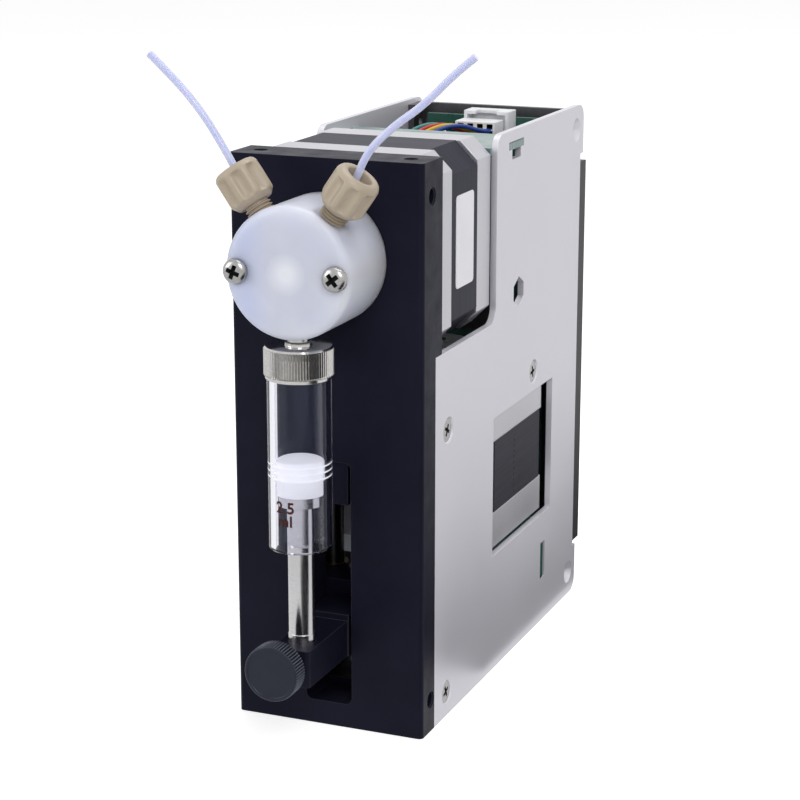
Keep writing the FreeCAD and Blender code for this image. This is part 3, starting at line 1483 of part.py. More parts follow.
def rear_cover():
    """The black tray over the back, its lips in the panels' rear recesses."""
    inner = from_front("(panelRear - recessDepth)")
    outer = f"({inner} + coverDepth)"
    tray = box("cover_tray", (f"-{plate_edge}", plate_edge), (inner, outer),
               ("coverBottom", cover_top))
    hollow = box("cover_hollow", (f"-{plate_edge} + coverWall", f"{plate_edge} - coverWall"),
                 (inner, f"{outer} - coverWall"), ("coverBottom + coverWall", f"{cover_top} - coverWall"))
    keep("rear_cover", cut("rear_cover", tray,
                           [hollow, connector_opening("cover_opening", inner, outer)]))


def data_connector():
    """The upright data socket on the main board's back, reaching through the cover."""
    back = f"({from_front('mainBoardFace')} + boardThickness)"
    wall = f"({from_front('(panelRear - recessDepth)')} - rearWallThickness)"
    outside = f"({from_front('(panelRear - recessDepth)')} + coverDepth)"
    flange = box("connector_flange", ("-connectorWidth / 2", "connectorWidth / 2"), (back, wall),
                 ("connectorHeight - connectorTall / 2", "connectorHeight + connectorTall / 2"))
    shell = box("connector_shell", ("-connectorShellWidth / 2", "connectorShellWidth / 2"),
                (wall, f"{outside} + connectorReach"),
                ("connectorHeight - connectorShellTall / 2",
                 "connectorHeight + connectorShellTall / 2"))
    blank = fuse("connector_blank", [flange, shell])
    well = box("connector_well", ("-connectorShellWidth / 2 + 0.8", "connectorShellWidth / 2 - 0.8"),
               (f"{outside} + connectorReach - 5", f"{outside} + connectorReach"),
               ("connectorHeight - connectorShellTall / 2 + 0.8",
                "connectorHeight + connectorShellTall / 2 - 0.8"))
    keep("data_connector", cut("data_connector", blank, [well]))


def build():
    front_plate()
    side_panel("right_side_panel", 1)
    side_panel("left_side_panel", -1)
    panel_screws()
    cheek("right_cheek", 1)
    cheek("left_cheek", -1)
    base_block()
    bearing_block()
    motor_bracket()
    guide_rods()
    screw_bearings()
    valve_motor()
    plunger_motor()
    valve_body()
    valve_screws()
    valve_rotor()
    valve_coupling()
    fitting("left_fitting", -1)
    fitting("right_fitting", 1)
    ferrules()
    tube("left_tube", -1, left_route)
    tube("right_tube", 1, right_route)
    syringe_cap()
    glass_barrel()
    plunger_seal()
    plunger_rod()
    carriage_block()
    lead_nut()
    guide_bushings()
    drive_arm()
    lock_knob()
    lead_screw()
    pulley("screw_pulley", "leadRadius", lead_y)
    pulley("motor_pulley", "motorShaftRadius", motor_y)
    drive_belt()
    sensor_board()
    optical_sensor()
    main_board()
    board_standoffs()
    board_screws()
    board_chips()
    motor_header()
    motor_plug()
    motor_leads()
    driver_board()
    rear_wall()
    rear_cover()
    data_connector()


def check_document():
    """Stop if any object failed to build."""
    for thing in doc.Objects:
        if "Invalid" in thing.State or "Error" in thing.State:
            raise RuntimeError(f"{thing.Label} did not build: {thing.State}")
    for thing in kept:
        shape = thing.Shape
        if shape.isNull() or not shape.isValid() or not shape.Solids:
            raise RuntimeError(f"{thing.Label} has no sound solid")


def write_parts():
    os.makedirs("parts", exist_ok=True)
    for thing in kept:
        thing.Shape.exportStep(os.path.join("parts", thing.Label + ".step"))
    print(f"{len(kept)} sub-parts written")


build()
doc.recompute()
check_document()
write_parts()
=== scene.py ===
import bpy
import bmesh
import math
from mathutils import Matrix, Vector


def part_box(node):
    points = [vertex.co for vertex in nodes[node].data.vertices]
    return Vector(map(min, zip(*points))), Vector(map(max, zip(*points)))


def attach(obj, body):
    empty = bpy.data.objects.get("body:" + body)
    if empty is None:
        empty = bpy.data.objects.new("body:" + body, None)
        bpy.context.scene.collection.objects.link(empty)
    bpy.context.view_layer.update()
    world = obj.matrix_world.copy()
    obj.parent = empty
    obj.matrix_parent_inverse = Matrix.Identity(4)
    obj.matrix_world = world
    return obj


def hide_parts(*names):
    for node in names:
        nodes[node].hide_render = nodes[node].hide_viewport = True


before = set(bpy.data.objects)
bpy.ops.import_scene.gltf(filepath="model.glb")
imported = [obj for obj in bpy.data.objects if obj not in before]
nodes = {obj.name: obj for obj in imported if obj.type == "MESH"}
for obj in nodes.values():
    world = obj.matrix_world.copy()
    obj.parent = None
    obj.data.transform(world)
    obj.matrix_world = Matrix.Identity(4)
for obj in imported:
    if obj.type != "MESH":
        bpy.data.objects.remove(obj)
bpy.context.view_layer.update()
mm = 0.001
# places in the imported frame, in millimetres, as are all sizes below unless a finish uses them
plateFront = -5.45
valveUp = 105.85
syringeBack = -19.15
valveScrewSpread = 11.1
leadScrewBack = 18.55
knobUp = 22.9
print("frame loaded")


# small helpers that the pieces share

def clearAll():
    if bpy.context.mode != "OBJECT":
        bpy.ops.object.mode_set(mode="OBJECT")
    bpy.ops.object.select_all(action="DESELECT")


def pick(piece):
    clearAll()
    piece.select_set(True)
    bpy.context.view_layer.objects.active = piece


def selectParts(piece, kind, test):
    # leaves the piece in edit mode with the vertices or faces that pass the test selected
    pick(piece)
    bpy.ops.object.mode_set(mode="EDIT")
    bpy.ops.mesh.select_mode(type=kind)
    bpy.ops.mesh.select_all(action="DESELECT")
    shape = bmesh.from_edit_mesh(piece.data)
    for part in shape.faces if kind == "FACE" else shape.verts:
        part.select_set(test(part))
    shape.select_flush_mode()
    bmesh.update_edit_mesh(piece.data)


def leaveEdit():
    bpy.ops.object.mode_set(mode="OBJECT")


def turnedPiece(name, rings, sides=96):
    # a lathe-like form: one ring drawn up its own axis, step by step
    clearAll()
    radius, height = rings[0]
    bpy.ops.mesh.primitive_circle_add(vertices=sides, radius=radius * mm, fill_type="NGON",
                                      location=(0, 0, height * mm))
    piece = bpy.context.object
    piece.name = name
    bpy.ops.object.transform_apply(location=True, rotation=True, scale=True)
    bpy.ops.object.mode_set(mode="EDIT")
    bpy.ops.mesh.select_mode(type="FACE")
    bpy.ops.mesh.select_all(action="SELECT")
    for nextRadius, nextHeight in rings[1:]:
        bpy.ops.mesh.extrude_region_move(
            TRANSFORM_OT_translate={"value": (0, 0, (nextHeight - height) * mm)})
        grow = nextRadius / radius
        bpy.ops.transform.resize(value=(grow, grow, 1), center_override=(0, 0, nextHeight * mm))
        radius, height = nextRadius, nextHeight
    bpy.ops.mesh.select_all(action="SELECT")
    bpy.ops.mesh.normals_make_consistent(inside=False)
    leaveEdit()
    return piece


def blockPiece(name, low, high, bevel=0.0):
    clearAll()
    middle = [(a + b) / 2 * mm for a, b in zip(low, high)]
    bpy.ops.mesh.primitive_cube_add(size=1, location=middle)
    piece = bpy.context.object
    piece.name = name
    piece.scale = [(b - a) * mm for a, b in zip(low, high)]
    bpy.ops.object.transform_apply(location=True, rotation=True, scale=True)
    if bevel:
        bpy.ops.object.mode_set(mode="EDIT")
        bpy.ops.mesh.select_all(action="SELECT")
        bpy.ops.mesh.bevel(offset=bevel * mm, segments=2, affect="EDGES")
        leaveEdit()
    return piece


def nodeBox(name):
    low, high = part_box(name)
    return [value / mm for value in low], [value / mm for value in high]


def standPiece(piece, place, turn=(0, 0, 0)):
    # turn in degrees, then move, and leave the place in the mesh
    pick(piece)
    piece.rotation_euler = [math.radians(angle) for angle in turn]
    piece.location = [value * mm for value in place]
    bpy.ops.object.transform_apply(location=True, rotation=True, scale=True)
    return piece


def copyPiece(piece, name):
    pick(piece)
    bpy.ops.object.duplicate(linked=False)
    twin = bpy.context.object
    twin.name = name
    return twin


def joinPieces(name, parts):
    clearAll()
    for part in parts:
        part.select_set(True)
    bpy.context.view_layer.objects.active = parts[0]
    bpy.ops.object.join()
    parts[0].name = name
    return parts[0]


def applyModifiers(piece):
    pick(piece)
    for modifier in list(piece.modifiers):
        bpy.ops.object.modifier_apply(modifier=modifier.name)


def carve(piece, cutter, operation="DIFFERENCE"):
    step = piece.modifiers.new("carve", "BOOLEAN")
    step.operation = operation
    step.solver = "EXACT"
    step.object = cutter
    applyModifiers(piece)
    bpy.data.objects.remove(cutter)
    return piece


def softenEdges(piece, width):
    step = piece.modifiers.new("soften", "BEVEL")
    step.width = width * mm
    step.segments = 2
    step.limit_method = "ANGLE"
    step.angle_limit = math.radians(40)
    step.harden_normals = False
    applyModifiers(piece)
    return piece


def faceOutward(piece):
    selectParts(piece, "FACE", lambda face: True)
    bpy.ops.mesh.normals_make_consistent(inside=False)
    leaveEdit()


def ridgeRing(piece, band):
    # presses every second vertex of a band inwards, which leaves a straight knurl
    stepAngle = 2 * math.pi / band["sides"]
    radius = band["rimRadius"]

    def inBand(vertex):
        tooth = round(math.atan2(vertex.co.y, vertex.co.x) / stepAngle)
        inside = band["knurlLow"] * mm < vertex.co.z < band["knurlHigh"] * mm
        return tooth % 2 == 1 and inside and math.hypot(vertex.co.x, vertex.co.y) > radius * mm * 0.97

    selectParts(piece, "VERT", inBand)
    shrink = (radius - band["knurlDepth"]) / radius
    bpy.ops.transform.resize(value=(shrink, shrink, 1), center_override=(0, 0, 0))
    leaveEdit()


def crossCutter(across, width, depth, top):
    # tapered cross for a screw's drive, with its mouth at the given height
    bars = []
    for turned in (0, 90):
        bar = blockPiece("crossBar", (-across / 2, -width / 2, top - depth),
                         (across / 2, width / 2, top + 0.6))
        selectParts(bar, "VERT", lambda vertex: vertex.co.z < (top - depth / 2) * mm)
        bpy.ops.transform.resize(value=(0.45, 0.7, 1), center_override=(0, 0, 0))
        leaveEdit()
        standPiece(bar, (0, 0, 0), (0, 0, turned))
        bars.append(bar)
    return carve(bars[0], bars[1], "UNION")


def dress(piece, body, finish, replaced=(), angle=30):
    pick(piece)
    bpy.ops.object.shade_smooth_by_angle(angle=math.radians(angle))
    if finish:
        piece.data.materials.clear()
        piece.data.materials.append(finish)
    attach(piece, body)
    if replaced:
        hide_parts(*replaced)
    return piece


# finishes

def startFinish(name, **values):
    finish = bpy.data.materials.new(name)
    finish.use_nodes = True
    shader = finish.node_tree.nodes["Principled BSDF"]
    for socket, value in values.items():
        shader.inputs[socket.replace("_", " ")].default_value = value
    return finish


def addNode(finish, kind, **links):
    tree = finish.node_tree
    node = tree.nodes.new(kind)
    for socket, source in links.items():
        wanted = node.inputs[int(socket[1:])] if socket[0] == "n" and socket[1:].isdigit() \
            else node.inputs[socket.replace("_", " ")]
        if isinstance(source, bpy.types.NodeSocket):
            tree.links.new(source, wanted)
        else:
            wanted.default_value = source
    return node


def ownPlace(finish, stretch=(1, 1, 1)):
    spot = addNode(finish, "ShaderNodeTexCoord")
    mapped = addNode(finish, "ShaderNodeMapping", Vector=spot.outputs["Object"], Scale=stretch)
    return mapped.outputs["Vector"]


def cloud(finish, scale, detail=3.0, stretch=(1, 1, 1), roughness=0.55):
    noise = addNode(finish, "ShaderNodeTexNoise", Vector=ownPlace(finish, stretch), Scale=scale,
                    Detail=detail, Roughness=roughness)
    return noise.outputs["Fac"]


def between(finish, value, low, high, fromLow=0.3, fromHigh=0.7):
    step = addNode(finish, "ShaderNodeMapRange", n0=value, n1=fromLow, n2=fromHigh, n3=low, n4=high)
    return step.outputs["Result"]


def twoTone(finish, value, dark, light, fromLow=0.3, fromHigh=0.7):
    ramp = finish.node_tree.nodes.new("ShaderNodeValToRGB")
    ramp.color_ramp.elements[0].position = fromLow
    ramp.color_ramp.elements[1].position = fromHigh
    ramp.color_ramp.elements[0].color = (*dark, 1)
    ramp.color_ramp.elements[1].color = (*light, 1)
    finish.node_tree.links.new(value, ramp.inputs["Fac"])
    return ramp.outputs["Color"]


def calc(finish, operation, first, second=0.5, third=0.0):
    node = addNode(finish, "ShaderNodeMath", n0=first, n1=second, n2=third)
    node.operation = operation
    return node.outputs["Value"]


def blendColour(finish, amount, first, second):
    node = finish.node_tree.nodes.new("ShaderNodeMix")
    node.data_type = "RGBA"
    for socket, source in zip((node.inputs[0], node.inputs[6], node.inputs[7]), (amount, first, second)):
        if isinstance(source, bpy.types.NodeSocket):
            finish.node_tree.links.new(source, socket)
        else:
            socket.default_value = source if isinstance(source, (int, float)) else (*source, 1)
    return node.outputs[2]


def plug(finish, socket, source):
    shader = finish.node_tree.nodes["Principled BSDF"]
    finish.node_tree.links.new(source, shader.inputs[socket])


def surface(finish, height, strength=0.3, distance=0.05, rounding=0.0):
    # bump over softly rounded edges
    bump = addNode(finish, "ShaderNodeBump", Height=height, Strength=strength, Distance=distance * mm)
    if rounding:
        rounded = addNode(finish, "ShaderNodeBevel", Radius=rounding * mm)
        rounded.samples = 6
        finish.node_tree.links.new(rounded.outputs["Normal"], bump.inputs["Normal"])
    plug(finish, "Normal", bump.outputs["Normal"])


def fromAxis(finish, up):
    # distance from the axis along Y at the given height
    spot = addNode(finish, "ShaderNodeTexCoord")
    apart = addNode(finish, "ShaderNodeVectorMath", n0=spot.outputs["Object"], n1=(0.0, 0.0, up * mm))
    apart.operation = "SUBTRACT"
    flat = addNode(finish, "ShaderNodeVectorMath", n0=apart.outputs["Vector"], n1=(1.0, 0.0, 1.0))
    flat.operation = "MULTIPLY"
    far = addNode(finish, "ShaderNodeVectorMath", n0=flat.outputs["Vector"])
    far.operation = "LENGTH"
    return far.outputs["Value"]


def paintedEdgeHighlight(finish, radius, gain=4.0):
    # near 1 along sharp edges, where a lighter colour is laid as a painted edge highlight
    rounded = addNode(finish, "ShaderNodeBevel", Radius=radius * mm)
    rounded.samples = 6
    flat = addNode(finish, "ShaderNodeNewGeometry")
    facing = addNode(finish, "ShaderNodeVectorMath", n0=rounded.outputs["Normal"],
                     n1=flat.outputs["Normal"])
    facing.operation = "DOT_PRODUCT"
    return addNode(finish, "ShaderNodeMapRange", n0=facing.outputs["Value"], n1=1.0,
                   n2=1.0 - 1.0 / gain, n3=0.0, n4=1.0).outputs["Result"]


def blackAnodised(name, base=(0.0058, 0.0062, 0.0135), lift=(0.0115, 0.012, 0.023), grain=2600,
                  roughness=(0.36, 0.5), specular=0.09):
    finish = startFinish(name, Specular_IOR_Level=specular, Specular_Tint=(0.72, 0.78, 1.0, 1))
    broad = cloud(finish, 26, 4.0)
    colour = twoTone(finish, broad, base, lift, 0.35, 0.75)
    # edges blended toward grey: a painted edge highlight
    edgeHighlight = paintedEdgeHighlight(finish, 0.25)
    plug(finish, "Base Color", blendColour(finish, calc(finish, "MULTIPLY", edgeHighlight, 0.55), colour,
                                           (0.09, 0.09, 0.11)))
    plug(finish, "Roughness", between(finish, cloud(finish, 180), *roughness))
    surface(finish, cloud(finish, grain, 2.0), 0.12, 0.02, 0.18)
    return finish


def turnedBlack():
    # black anodising over fine turning rings, lightened on the knurl's crests as a painted highlight
    finish = startFinish("knobAnodised", Specular_IOR_Level=0.30, Specular_Tint=(0.72, 0.78, 1.0, 1))
    far = fromAxis(finish, knobUp)
    ringPitch = 0.6 * mm
    rings = calc(finish, "SINE", calc(finish, "MULTIPLY", far, 2 * math.pi / ringPitch))
    # paler on the rim's crests: a painted highlight
    paintedRimLight = between(finish, far, 0.0, 1.0, 5.9 * mm, 6.13 * mm)
    face = twoTone(finish, cloud(finish, 90, 4.0), (0.011, 0.012, 0.018), (0.016, 0.018, 0.026))
    plug(finish, "Base Color", blendColour(finish, paintedRimLight, face, (0.15, 0.16, 0.20)))
    plug(finish, "Roughness", between(finish, cloud(finish, 300), 0.30, 0.38))
    surface(finish, rings, 0.22, 0.02)
    return finish


def satinMetal(name, dark, light, roughness=(0.32, 0.46), stretch=(1, 1, 1), scale=900,
               strength=0.12, rounding=0.12):
    finish = startFinish(name, Metallic=1.0)
    broad = cloud(finish, 30, 4.0)
    fine = cloud(finish, scale, 3.0, stretch)
    mixed = calc(finish, "MULTIPLY_ADD", fine, 0.45, calc(finish, "MULTIPLY", broad, 0.55))
    plug(finish, "Base Color", twoTone(finish, mixed, dark, light, 0.35, 0.65))
    plug(finish, "Roughness", between(finish, mixed, *roughness))
    surface(finish, fine, strength, 0.02, rounding)
    return finish


def mouldedPlastic(name, dark, light, roughness=(0.35, 0.5), scale=700, specular=0.4, rounding=0.15,
                   subsurface=0.0, reach=0.001, strength=0.1):
    finish = startFinish(name, Specular_IOR_Level=specular, Subsurface_Weight=subsurface,
                         Subsurface_Radius=(1.0, 0.85, 0.7), Subsurface_Scale=reach)
    broad = cloud(finish, 60, 3.0)
    plug(finish, "Base Color", twoTone(finish, broad, dark, light))
    plug(finish, "Roughness", between(finish, cloud(finish, 240), *roughness))
    surface(finish, cloud(finish, scale, 3.0), strength, 0.03, rounding)
    return finish


def panelFinish():
    finish = startFinish("satinPanel", Metallic=0.55, Specular_IOR_Level=0.5)
    broad = cloud(finish, 14, 3.0)
    fine = cloud(finish, 5200, 2.0)
    mixed = calc(finish, "MULTIPLY_ADD", fine, 0.25, calc(finish, "MULTIPLY", broad, 0.75))
    plug(finish, "Base Color", twoTone(finish, mixed, (0.64, 0.63, 0.68), (0.71, 0.70, 0.75)))
    plug(finish, "Roughness", between(finish, mixed, 0.40, 0.52))
    surface(finish, fine, 0.10, 0.012, 0.16)
    return finish


def milkyFinish():
    # clear polymer gone milky, with a painted reflection tinting it bluer to the left, and the rotor's
    # end showing through as a paler spot
    finish = startFinish("milkyValve", Specular_IOR_Level=0.35, Subsurface_Weight=0.75,
                         Subsurface_Radius=(0.8, 0.9, 1.0), Subsurface_Scale=0.006,
                         Coat_Weight=0.15, Coat_Roughness=0.3)
    paler = between(finish, fromAxis(finish, valveUp), 1.0, 0.0, 1.2 * mm, 4.6 * mm)
    across = addNode(finish, "ShaderNodeSeparateXYZ", Vector=ownPlace(finish))
    # bluer to the left, greyer to the right: a painted reflection tint
    paintedReflectionTint = between(finish, across.outputs["X"], 0.0, 1.0, -8.5 * mm, -3.0 * mm)
    milky = blendColour(finish, paintedReflectionTint,
                        twoTone(finish, cloud(finish, 55, 3.0), (0.54, 0.58, 0.77), (0.60, 0.64, 0.82)),
                        twoTone(finish, cloud(finish, 55, 3.0), (0.60, 0.62, 0.73), (0.68, 0.70, 0.79)))
    plug(finish, "Base Color", blendColour(finish, calc(finish, "MULTIPLY", paler, 0.75), milky,
                                           (0.88, 0.90, 0.95)))
    plug(finish, "Roughness", between(finish, cloud(finish, 300), 0.34, 0.46))
    surface(finish, cloud(finish, 900, 3.0), 0.08, 0.03, 0.5)
    return finish


def sealFinish():
    # white and slightly see-through; its emission is a painted glow that brightens it inside the glass
    finish = startFinish("sealPtfe", Specular_IOR_Level=0.3, Subsurface_Weight=0.4,
                         Subsurface_Radius=(1.0, 1.0, 1.0), Subsurface_Scale=0.0012,
                         Emission_Color=(0.93, 0.93, 1.0, 1), Emission_Strength=0.30)
    plug(finish, "Base Color", twoTone(finish, cloud(finish, 60, 3.0), (0.86, 0.86, 0.88),
                                       (0.92, 0.92, 0.93)))
    plug(finish, "Roughness", between(finish, cloud(finish, 240), 0.35, 0.5))
    surface(finish, cloud(finish, 700, 3.0), 0.06, 0.02, 0.25)
    return finish


def glassFinish():
    finish = startFinish("boroGlass", Base_Color=(0.90, 0.905, 0.965, 1), Transmission_Weight=1.0,
                         IOR=1.45, Specular_Tint=(0.22, 0.24, 0.30, 1))
    plug(finish, "Roughness", between(finish, cloud(finish, 90), 0.0, 0.012))
    surface(finish, cloud(finish, 60, 2.0, (1, 1, 0.15)), 0.015, 0.02)
    return finish


def tubeFinish():
    # bluish at the core, paler towards the edges where the surface turns from view: a painted sheen
    finish = startFinish("clearTubing", IOR=1.36, Specular_IOR_Level=0.5, Subsurface_Weight=0.3,
                         Subsurface_Scale=0.0006, Coat_Weight=0.3, Coat_Roughness=0.12)
    # facing-based paling at the edges is a painted sheen
    paintedRimLight = addNode(finish, "ShaderNodeLayerWeight", Blend=0.35)
    core = twoTone(finish, cloud(finish, 160), (0.52, 0.56, 0.86), (0.60, 0.64, 0.90))
    plug(finish, "Base Color", blendColour(finish, paintedRimLight.outputs["Facing"], core, (0.80, 0.82, 0.92)))
    plug(finish, "Roughness", between(finish, cloud(finish, 500), 0.16, 0.3))
    surface(finish, cloud(finish, 1500), 0.06, 0.02)
    return finish


def threadedSteel():
    # a right-hand screw thread, one turn every 5 mm in five starts, round the lead screw's axis
    finish = startFinish("threadedSteel", Metallic=1.0)
    starts = 5
    ridgePitch = 1.0 * mm
    parts = addNode(finish, "ShaderNodeSeparateXYZ", Vector=ownPlace(finish))
    turn = calc(finish, "ARCTAN2", calc(finish, "SUBTRACT", parts.outputs["Y"], leadScrewBack * mm),
                parts.outputs["X"])
    rise = calc(finish, "MULTIPLY", parts.outputs["Z"], 2 * math.pi / ridgePitch)
    wave = calc(finish, "SINE", calc(finish, "SUBTRACT", rise, calc(finish, "MULTIPLY", turn, starts)))
    # the colour darkens in the thread's grooves as a painted shade
    plug(finish, "Base Color", twoTone(finish, between(finish, wave, 0.0, 1.0, -1.0, 1.0),
                                       (0.03, 0.03, 0.03), (0.16, 0.16, 0.165), 0.1, 0.7))
    plug(finish, "Roughness", between(finish, cloud(finish, 700), 0.22, 0.36))
    surface(finish, wave, 0.9, 0.25)
    return finish


def laminatedBlack(name, stretch, dark, light, roughness, specular):
    # enamelled motor laminations, in thin layers across the motor's axis
    finish = startFinish(name, Specular_IOR_Level=specular)
    layers = cloud(finish, 60, 1.0, stretch)
    plug(finish, "Base Color", twoTone(finish, cloud(finish, 45), dark, light))
    plug(finish, "Roughness", between(finish, layers, *roughness))
    surface(finish, layers, 0.07, 0.03, 0.25)
    return finish


def boardFinish(name, dark, light, trace):
    finish = startFinish(name, Specular_IOR_Level=0.5, Coat_Weight=0.3, Coat_Roughness=0.2)
    tracks = addNode(finish, "ShaderNodeTexBrick", Vector=ownPlace(finish), Scale=330.0,
                     Mortar_Size=0.09, Mortar_Smooth=0.1, Brick_Width=0.9, Row_Height=0.42)
    weave = twoTone(finish, cloud(finish, 120, 4.0), dark, light)
    patch = between(finish, cloud(finish, 55, 2.0), 0.0, 1.0, 0.45, 0.55)
    track = calc(finish, "MULTIPLY", tracks.outputs["Fac"], patch)
    plug(finish, "Base Color", blendColour(finish, calc(finish, "MULTIPLY", track, 0.22), weave, trace))
    plug(finish, "Roughness", between(finish, cloud(finish, 300), 0.26, 0.42))
    surface(finish, track, 0.10, 0.02, 0.08)
    return finish


finishes = {
    "plate": blackAnodised("plateAnodised"),
    "knob": turnedBlack(),
    "panel": panelFinish(),
    "wall": satinMetal("darkSheet", (0.115, 0.115, 0.125), (0.14, 0.14, 0.15), scale=2400,
                       strength=0.03),
    "milled": satinMetal("milledAluminium", (0.50, 0.50, 0.51), (0.66, 0.66, 0.67), (0.28, 0.42),
                         (1, 9, 1), 500),
    "ground": satinMetal("groundSteel", (0.50, 0.49, 0.50), (0.64, 0.63, 0.64), (0.14, 0.26),
                         (1, 1, 14), 900, rounding=0.1),
    "darkSteel": satinMetal("hardenedRod", (0.06, 0.06, 0.065), (0.10, 0.10, 0.11), (0.26, 0.36),
                            (1, 1, 14), 900, rounding=0.1),
    "screw": satinMetal("screwSteel", (0.32, 0.315, 0.315), (0.44, 0.435, 0.43), (0.20, 0.30), scale=1400,
                        strength=0.04, rounding=0.0),
    # painted shade for the screws' drive recesses and the plug's ways; the weld spots take it as their
    # own dark colour
    "recess": mouldedPlastic("paintedRecessShadeAndWeld", (0.010, 0.010, 0.011), (0.024, 0.023, 0.023), (0.5, 0.7),
                             1500, 0.2, 0.0),
    "nickel": satinMetal("nickelPlate", (0.50, 0.49, 0.48), (0.64, 0.63, 0.62), (0.13, 0.19),
                         scale=1500, strength=0.03, rounding=0.0),
    "bronze": satinMetal("sinteredBronze", (0.20, 0.13, 0.06), (0.30, 0.20, 0.10), (0.38, 0.5),
                         scale=2600),
    "milky": milkyFinish(),
    "ptfe": mouldedPlastic("whitePtfe", (0.80, 0.80, 0.82), (0.88, 0.88, 0.89), (0.35, 0.5),
                           subsurface=0.25, reach=0.0008, rounding=0.2),
    "seal": sealFinish(),
    "coupling": satinMetal("turnedCoupling", (0.38, 0.38, 0.39), (0.52, 0.52, 0.53), (0.26, 0.4)),
    "beige": mouldedPlastic("beigePeek", (0.38, 0.312, 0.232), (0.44, 0.368, 0.28), (0.34, 0.46), 900,
                            0.5, 0.0, strength=0.03),
    "tube": tubeFinish(),
    "glass": glassFinish(),
    "bell": satinMetal("castBell", (0.50, 0.50, 0.53), (0.58, 0.58, 0.62), (0.36, 0.44), scale=2400,
                       strength=0.05, rounding=0.3),
    "stator": laminatedBlack("statorEnamel", (1, 1, 45), (0.020, 0.019, 0.029), (0.027, 0.026, 0.039),
                             (0.46, 0.52), 0.14),
    "statorAcross": laminatedBlack("statorEnamelAcross", (1, 45, 1), (0.020, 0.020, 0.033),
                                   (0.027, 0.027, 0.043), (0.40, 0.46), 0.07),
    "label": mouldedPlastic("blankLabel", (0.82, 0.82, 0.86), (0.88, 0.88, 0.92), (0.4, 0.52), 500,
                            0.4, 0.0),
    "film": mouldedPlastic("filmDisc", (0.012, 0.012, 0.014), (0.03, 0.03, 0.034), (0.2, 0.3)),
    "chip": mouldedPlastic("chipMoulding", (0.012, 0.012, 0.014), (0.028, 0.028, 0.032), (0.42, 0.6),
                           1500),
    "pulley": satinMetal("turnedPulley", (0.50, 0.50, 0.51), (0.64, 0.64, 0.66), (0.26, 0.38)),
    "belt": mouldedPlastic("beltRubber", (0.012, 0.012, 0.013), (0.03, 0.03, 0.032), (0.6, 0.8), 900,
                           0.3),
    "paleBoard": boardFinish("paleBoard", (0.10, 0.18, 0.175), (0.135, 0.23, 0.22), (0.20, 0.31, 0.29)),
    "greenBoard": boardFinish("greenBoard", (0.008, 0.052, 0.038), (0.014, 0.078, 0.058),
                              (0.03, 0.15, 0.10)),
    "brass": satinMetal("brassPost", (0.52, 0.38, 0.16), (0.72, 0.55, 0.28), (0.24, 0.36)),
    "nylon": mouldedPlastic("whiteNylon", (0.70, 0.71, 0.72), (0.80, 0.81, 0.83), (0.36, 0.5), 900,
                            0.42, 0.12, 0.15, 0.0006),
    "cover": mouldedPlastic("coverMoulding", (0.017, 0.017, 0.020), (0.021, 0.021, 0.025), (0.50, 0.54),
                            2600, 0.4, 0.3, strength=0.08),
    "shell": satinMetal("connectorShell", (0.48, 0.48, 0.46), (0.66, 0.66, 0.63), (0.22, 0.34)),
    "lead": threadedSteel(),
    "mark": mouldedPlastic("markInk", (0.045, 0.010, 0.007), (0.06, 0.013, 0.009), (0.5, 0.65), 2600,
                           0.15),
    "gold": satinMetal("goldContact", (0.66, 0.46, 0.16), (0.86, 0.64, 0.28), (0.16, 0.26)),
}
leadColours = {"teal": (0.015, 0.22, 0.21), "red": (0.50, 0.012, 0.010),
               "yellow": (0.66, 0.42, 0.012), "blue": (0.012, 0.05, 0.28)}
for colourName, colour in leadColours.items():
    finishes[colourName] = mouldedPlastic(colourName + "Cover", tuple(part * 0.85 for part in colour),
                                          tuple(min(1, part * 1.12) for part in colour),
                                          (0.3, 0.44), 1500, 0.45, 0.0)
print("finishes ready")

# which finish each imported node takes
nodeFinishes = {
    "plate": ["front_plate", "drive_arm", "bearing_block", "base_block", "carriage_block"],
    "panel": ["left_side_panel", "right_side_panel"],
    "wall": ["rear_wall"],
    "milled": ["left_cheek", "right_cheek", "motor_bracket"],
    "ground": ["valve_motor_shaft", "plunger_motor_shaft"],
    "darkSteel": ["guide_rods", "screw_bearings"],
    "lead": ["lead_screw"],
    "screw": ["valve_motor_screws", "plunger_motor_screws", "board_screws"],
    "bronze": ["lead_nut", "guide_bushings"],
    "milky": ["valve_body"],
    "ptfe": ["valve_rotor", "ferrules"],
    "coupling": ["valve_coupling"],
    "bell": ["valve_motor_front_bell", "valve_motor_rear_bell", "plunger_motor_lower_bell",
             "plunger_motor_upper_bell"],
    "stator": ["plunger_motor_stator"],
    "statorAcross": ["valve_motor_stator"],
    "label": ["valve_motor_label"],
    "film": ["encoder_disc"],
    "chip": ["optical_sensor", "controller_chip", "driver_chips"],
    "pulley": ["screw_pulley", "motor_pulley"],
    "belt": ["drive_belt"],
    "paleBoard": ["sensor_board"],
    "greenBoard": ["main_board", "driver_board"],
    "brass": ["board_standoffs"],
    "cover": ["rear_cover"],
    "shell": ["data_connector"],
}
for finishName, wearers in nodeFinishes.items():
    for wearer in wearers:
        for place in nodes[wearer].material_slots:
            place.material = finishes[finishName]
print("packed nodes dressed")


# the two finger nuts in the valve's ports

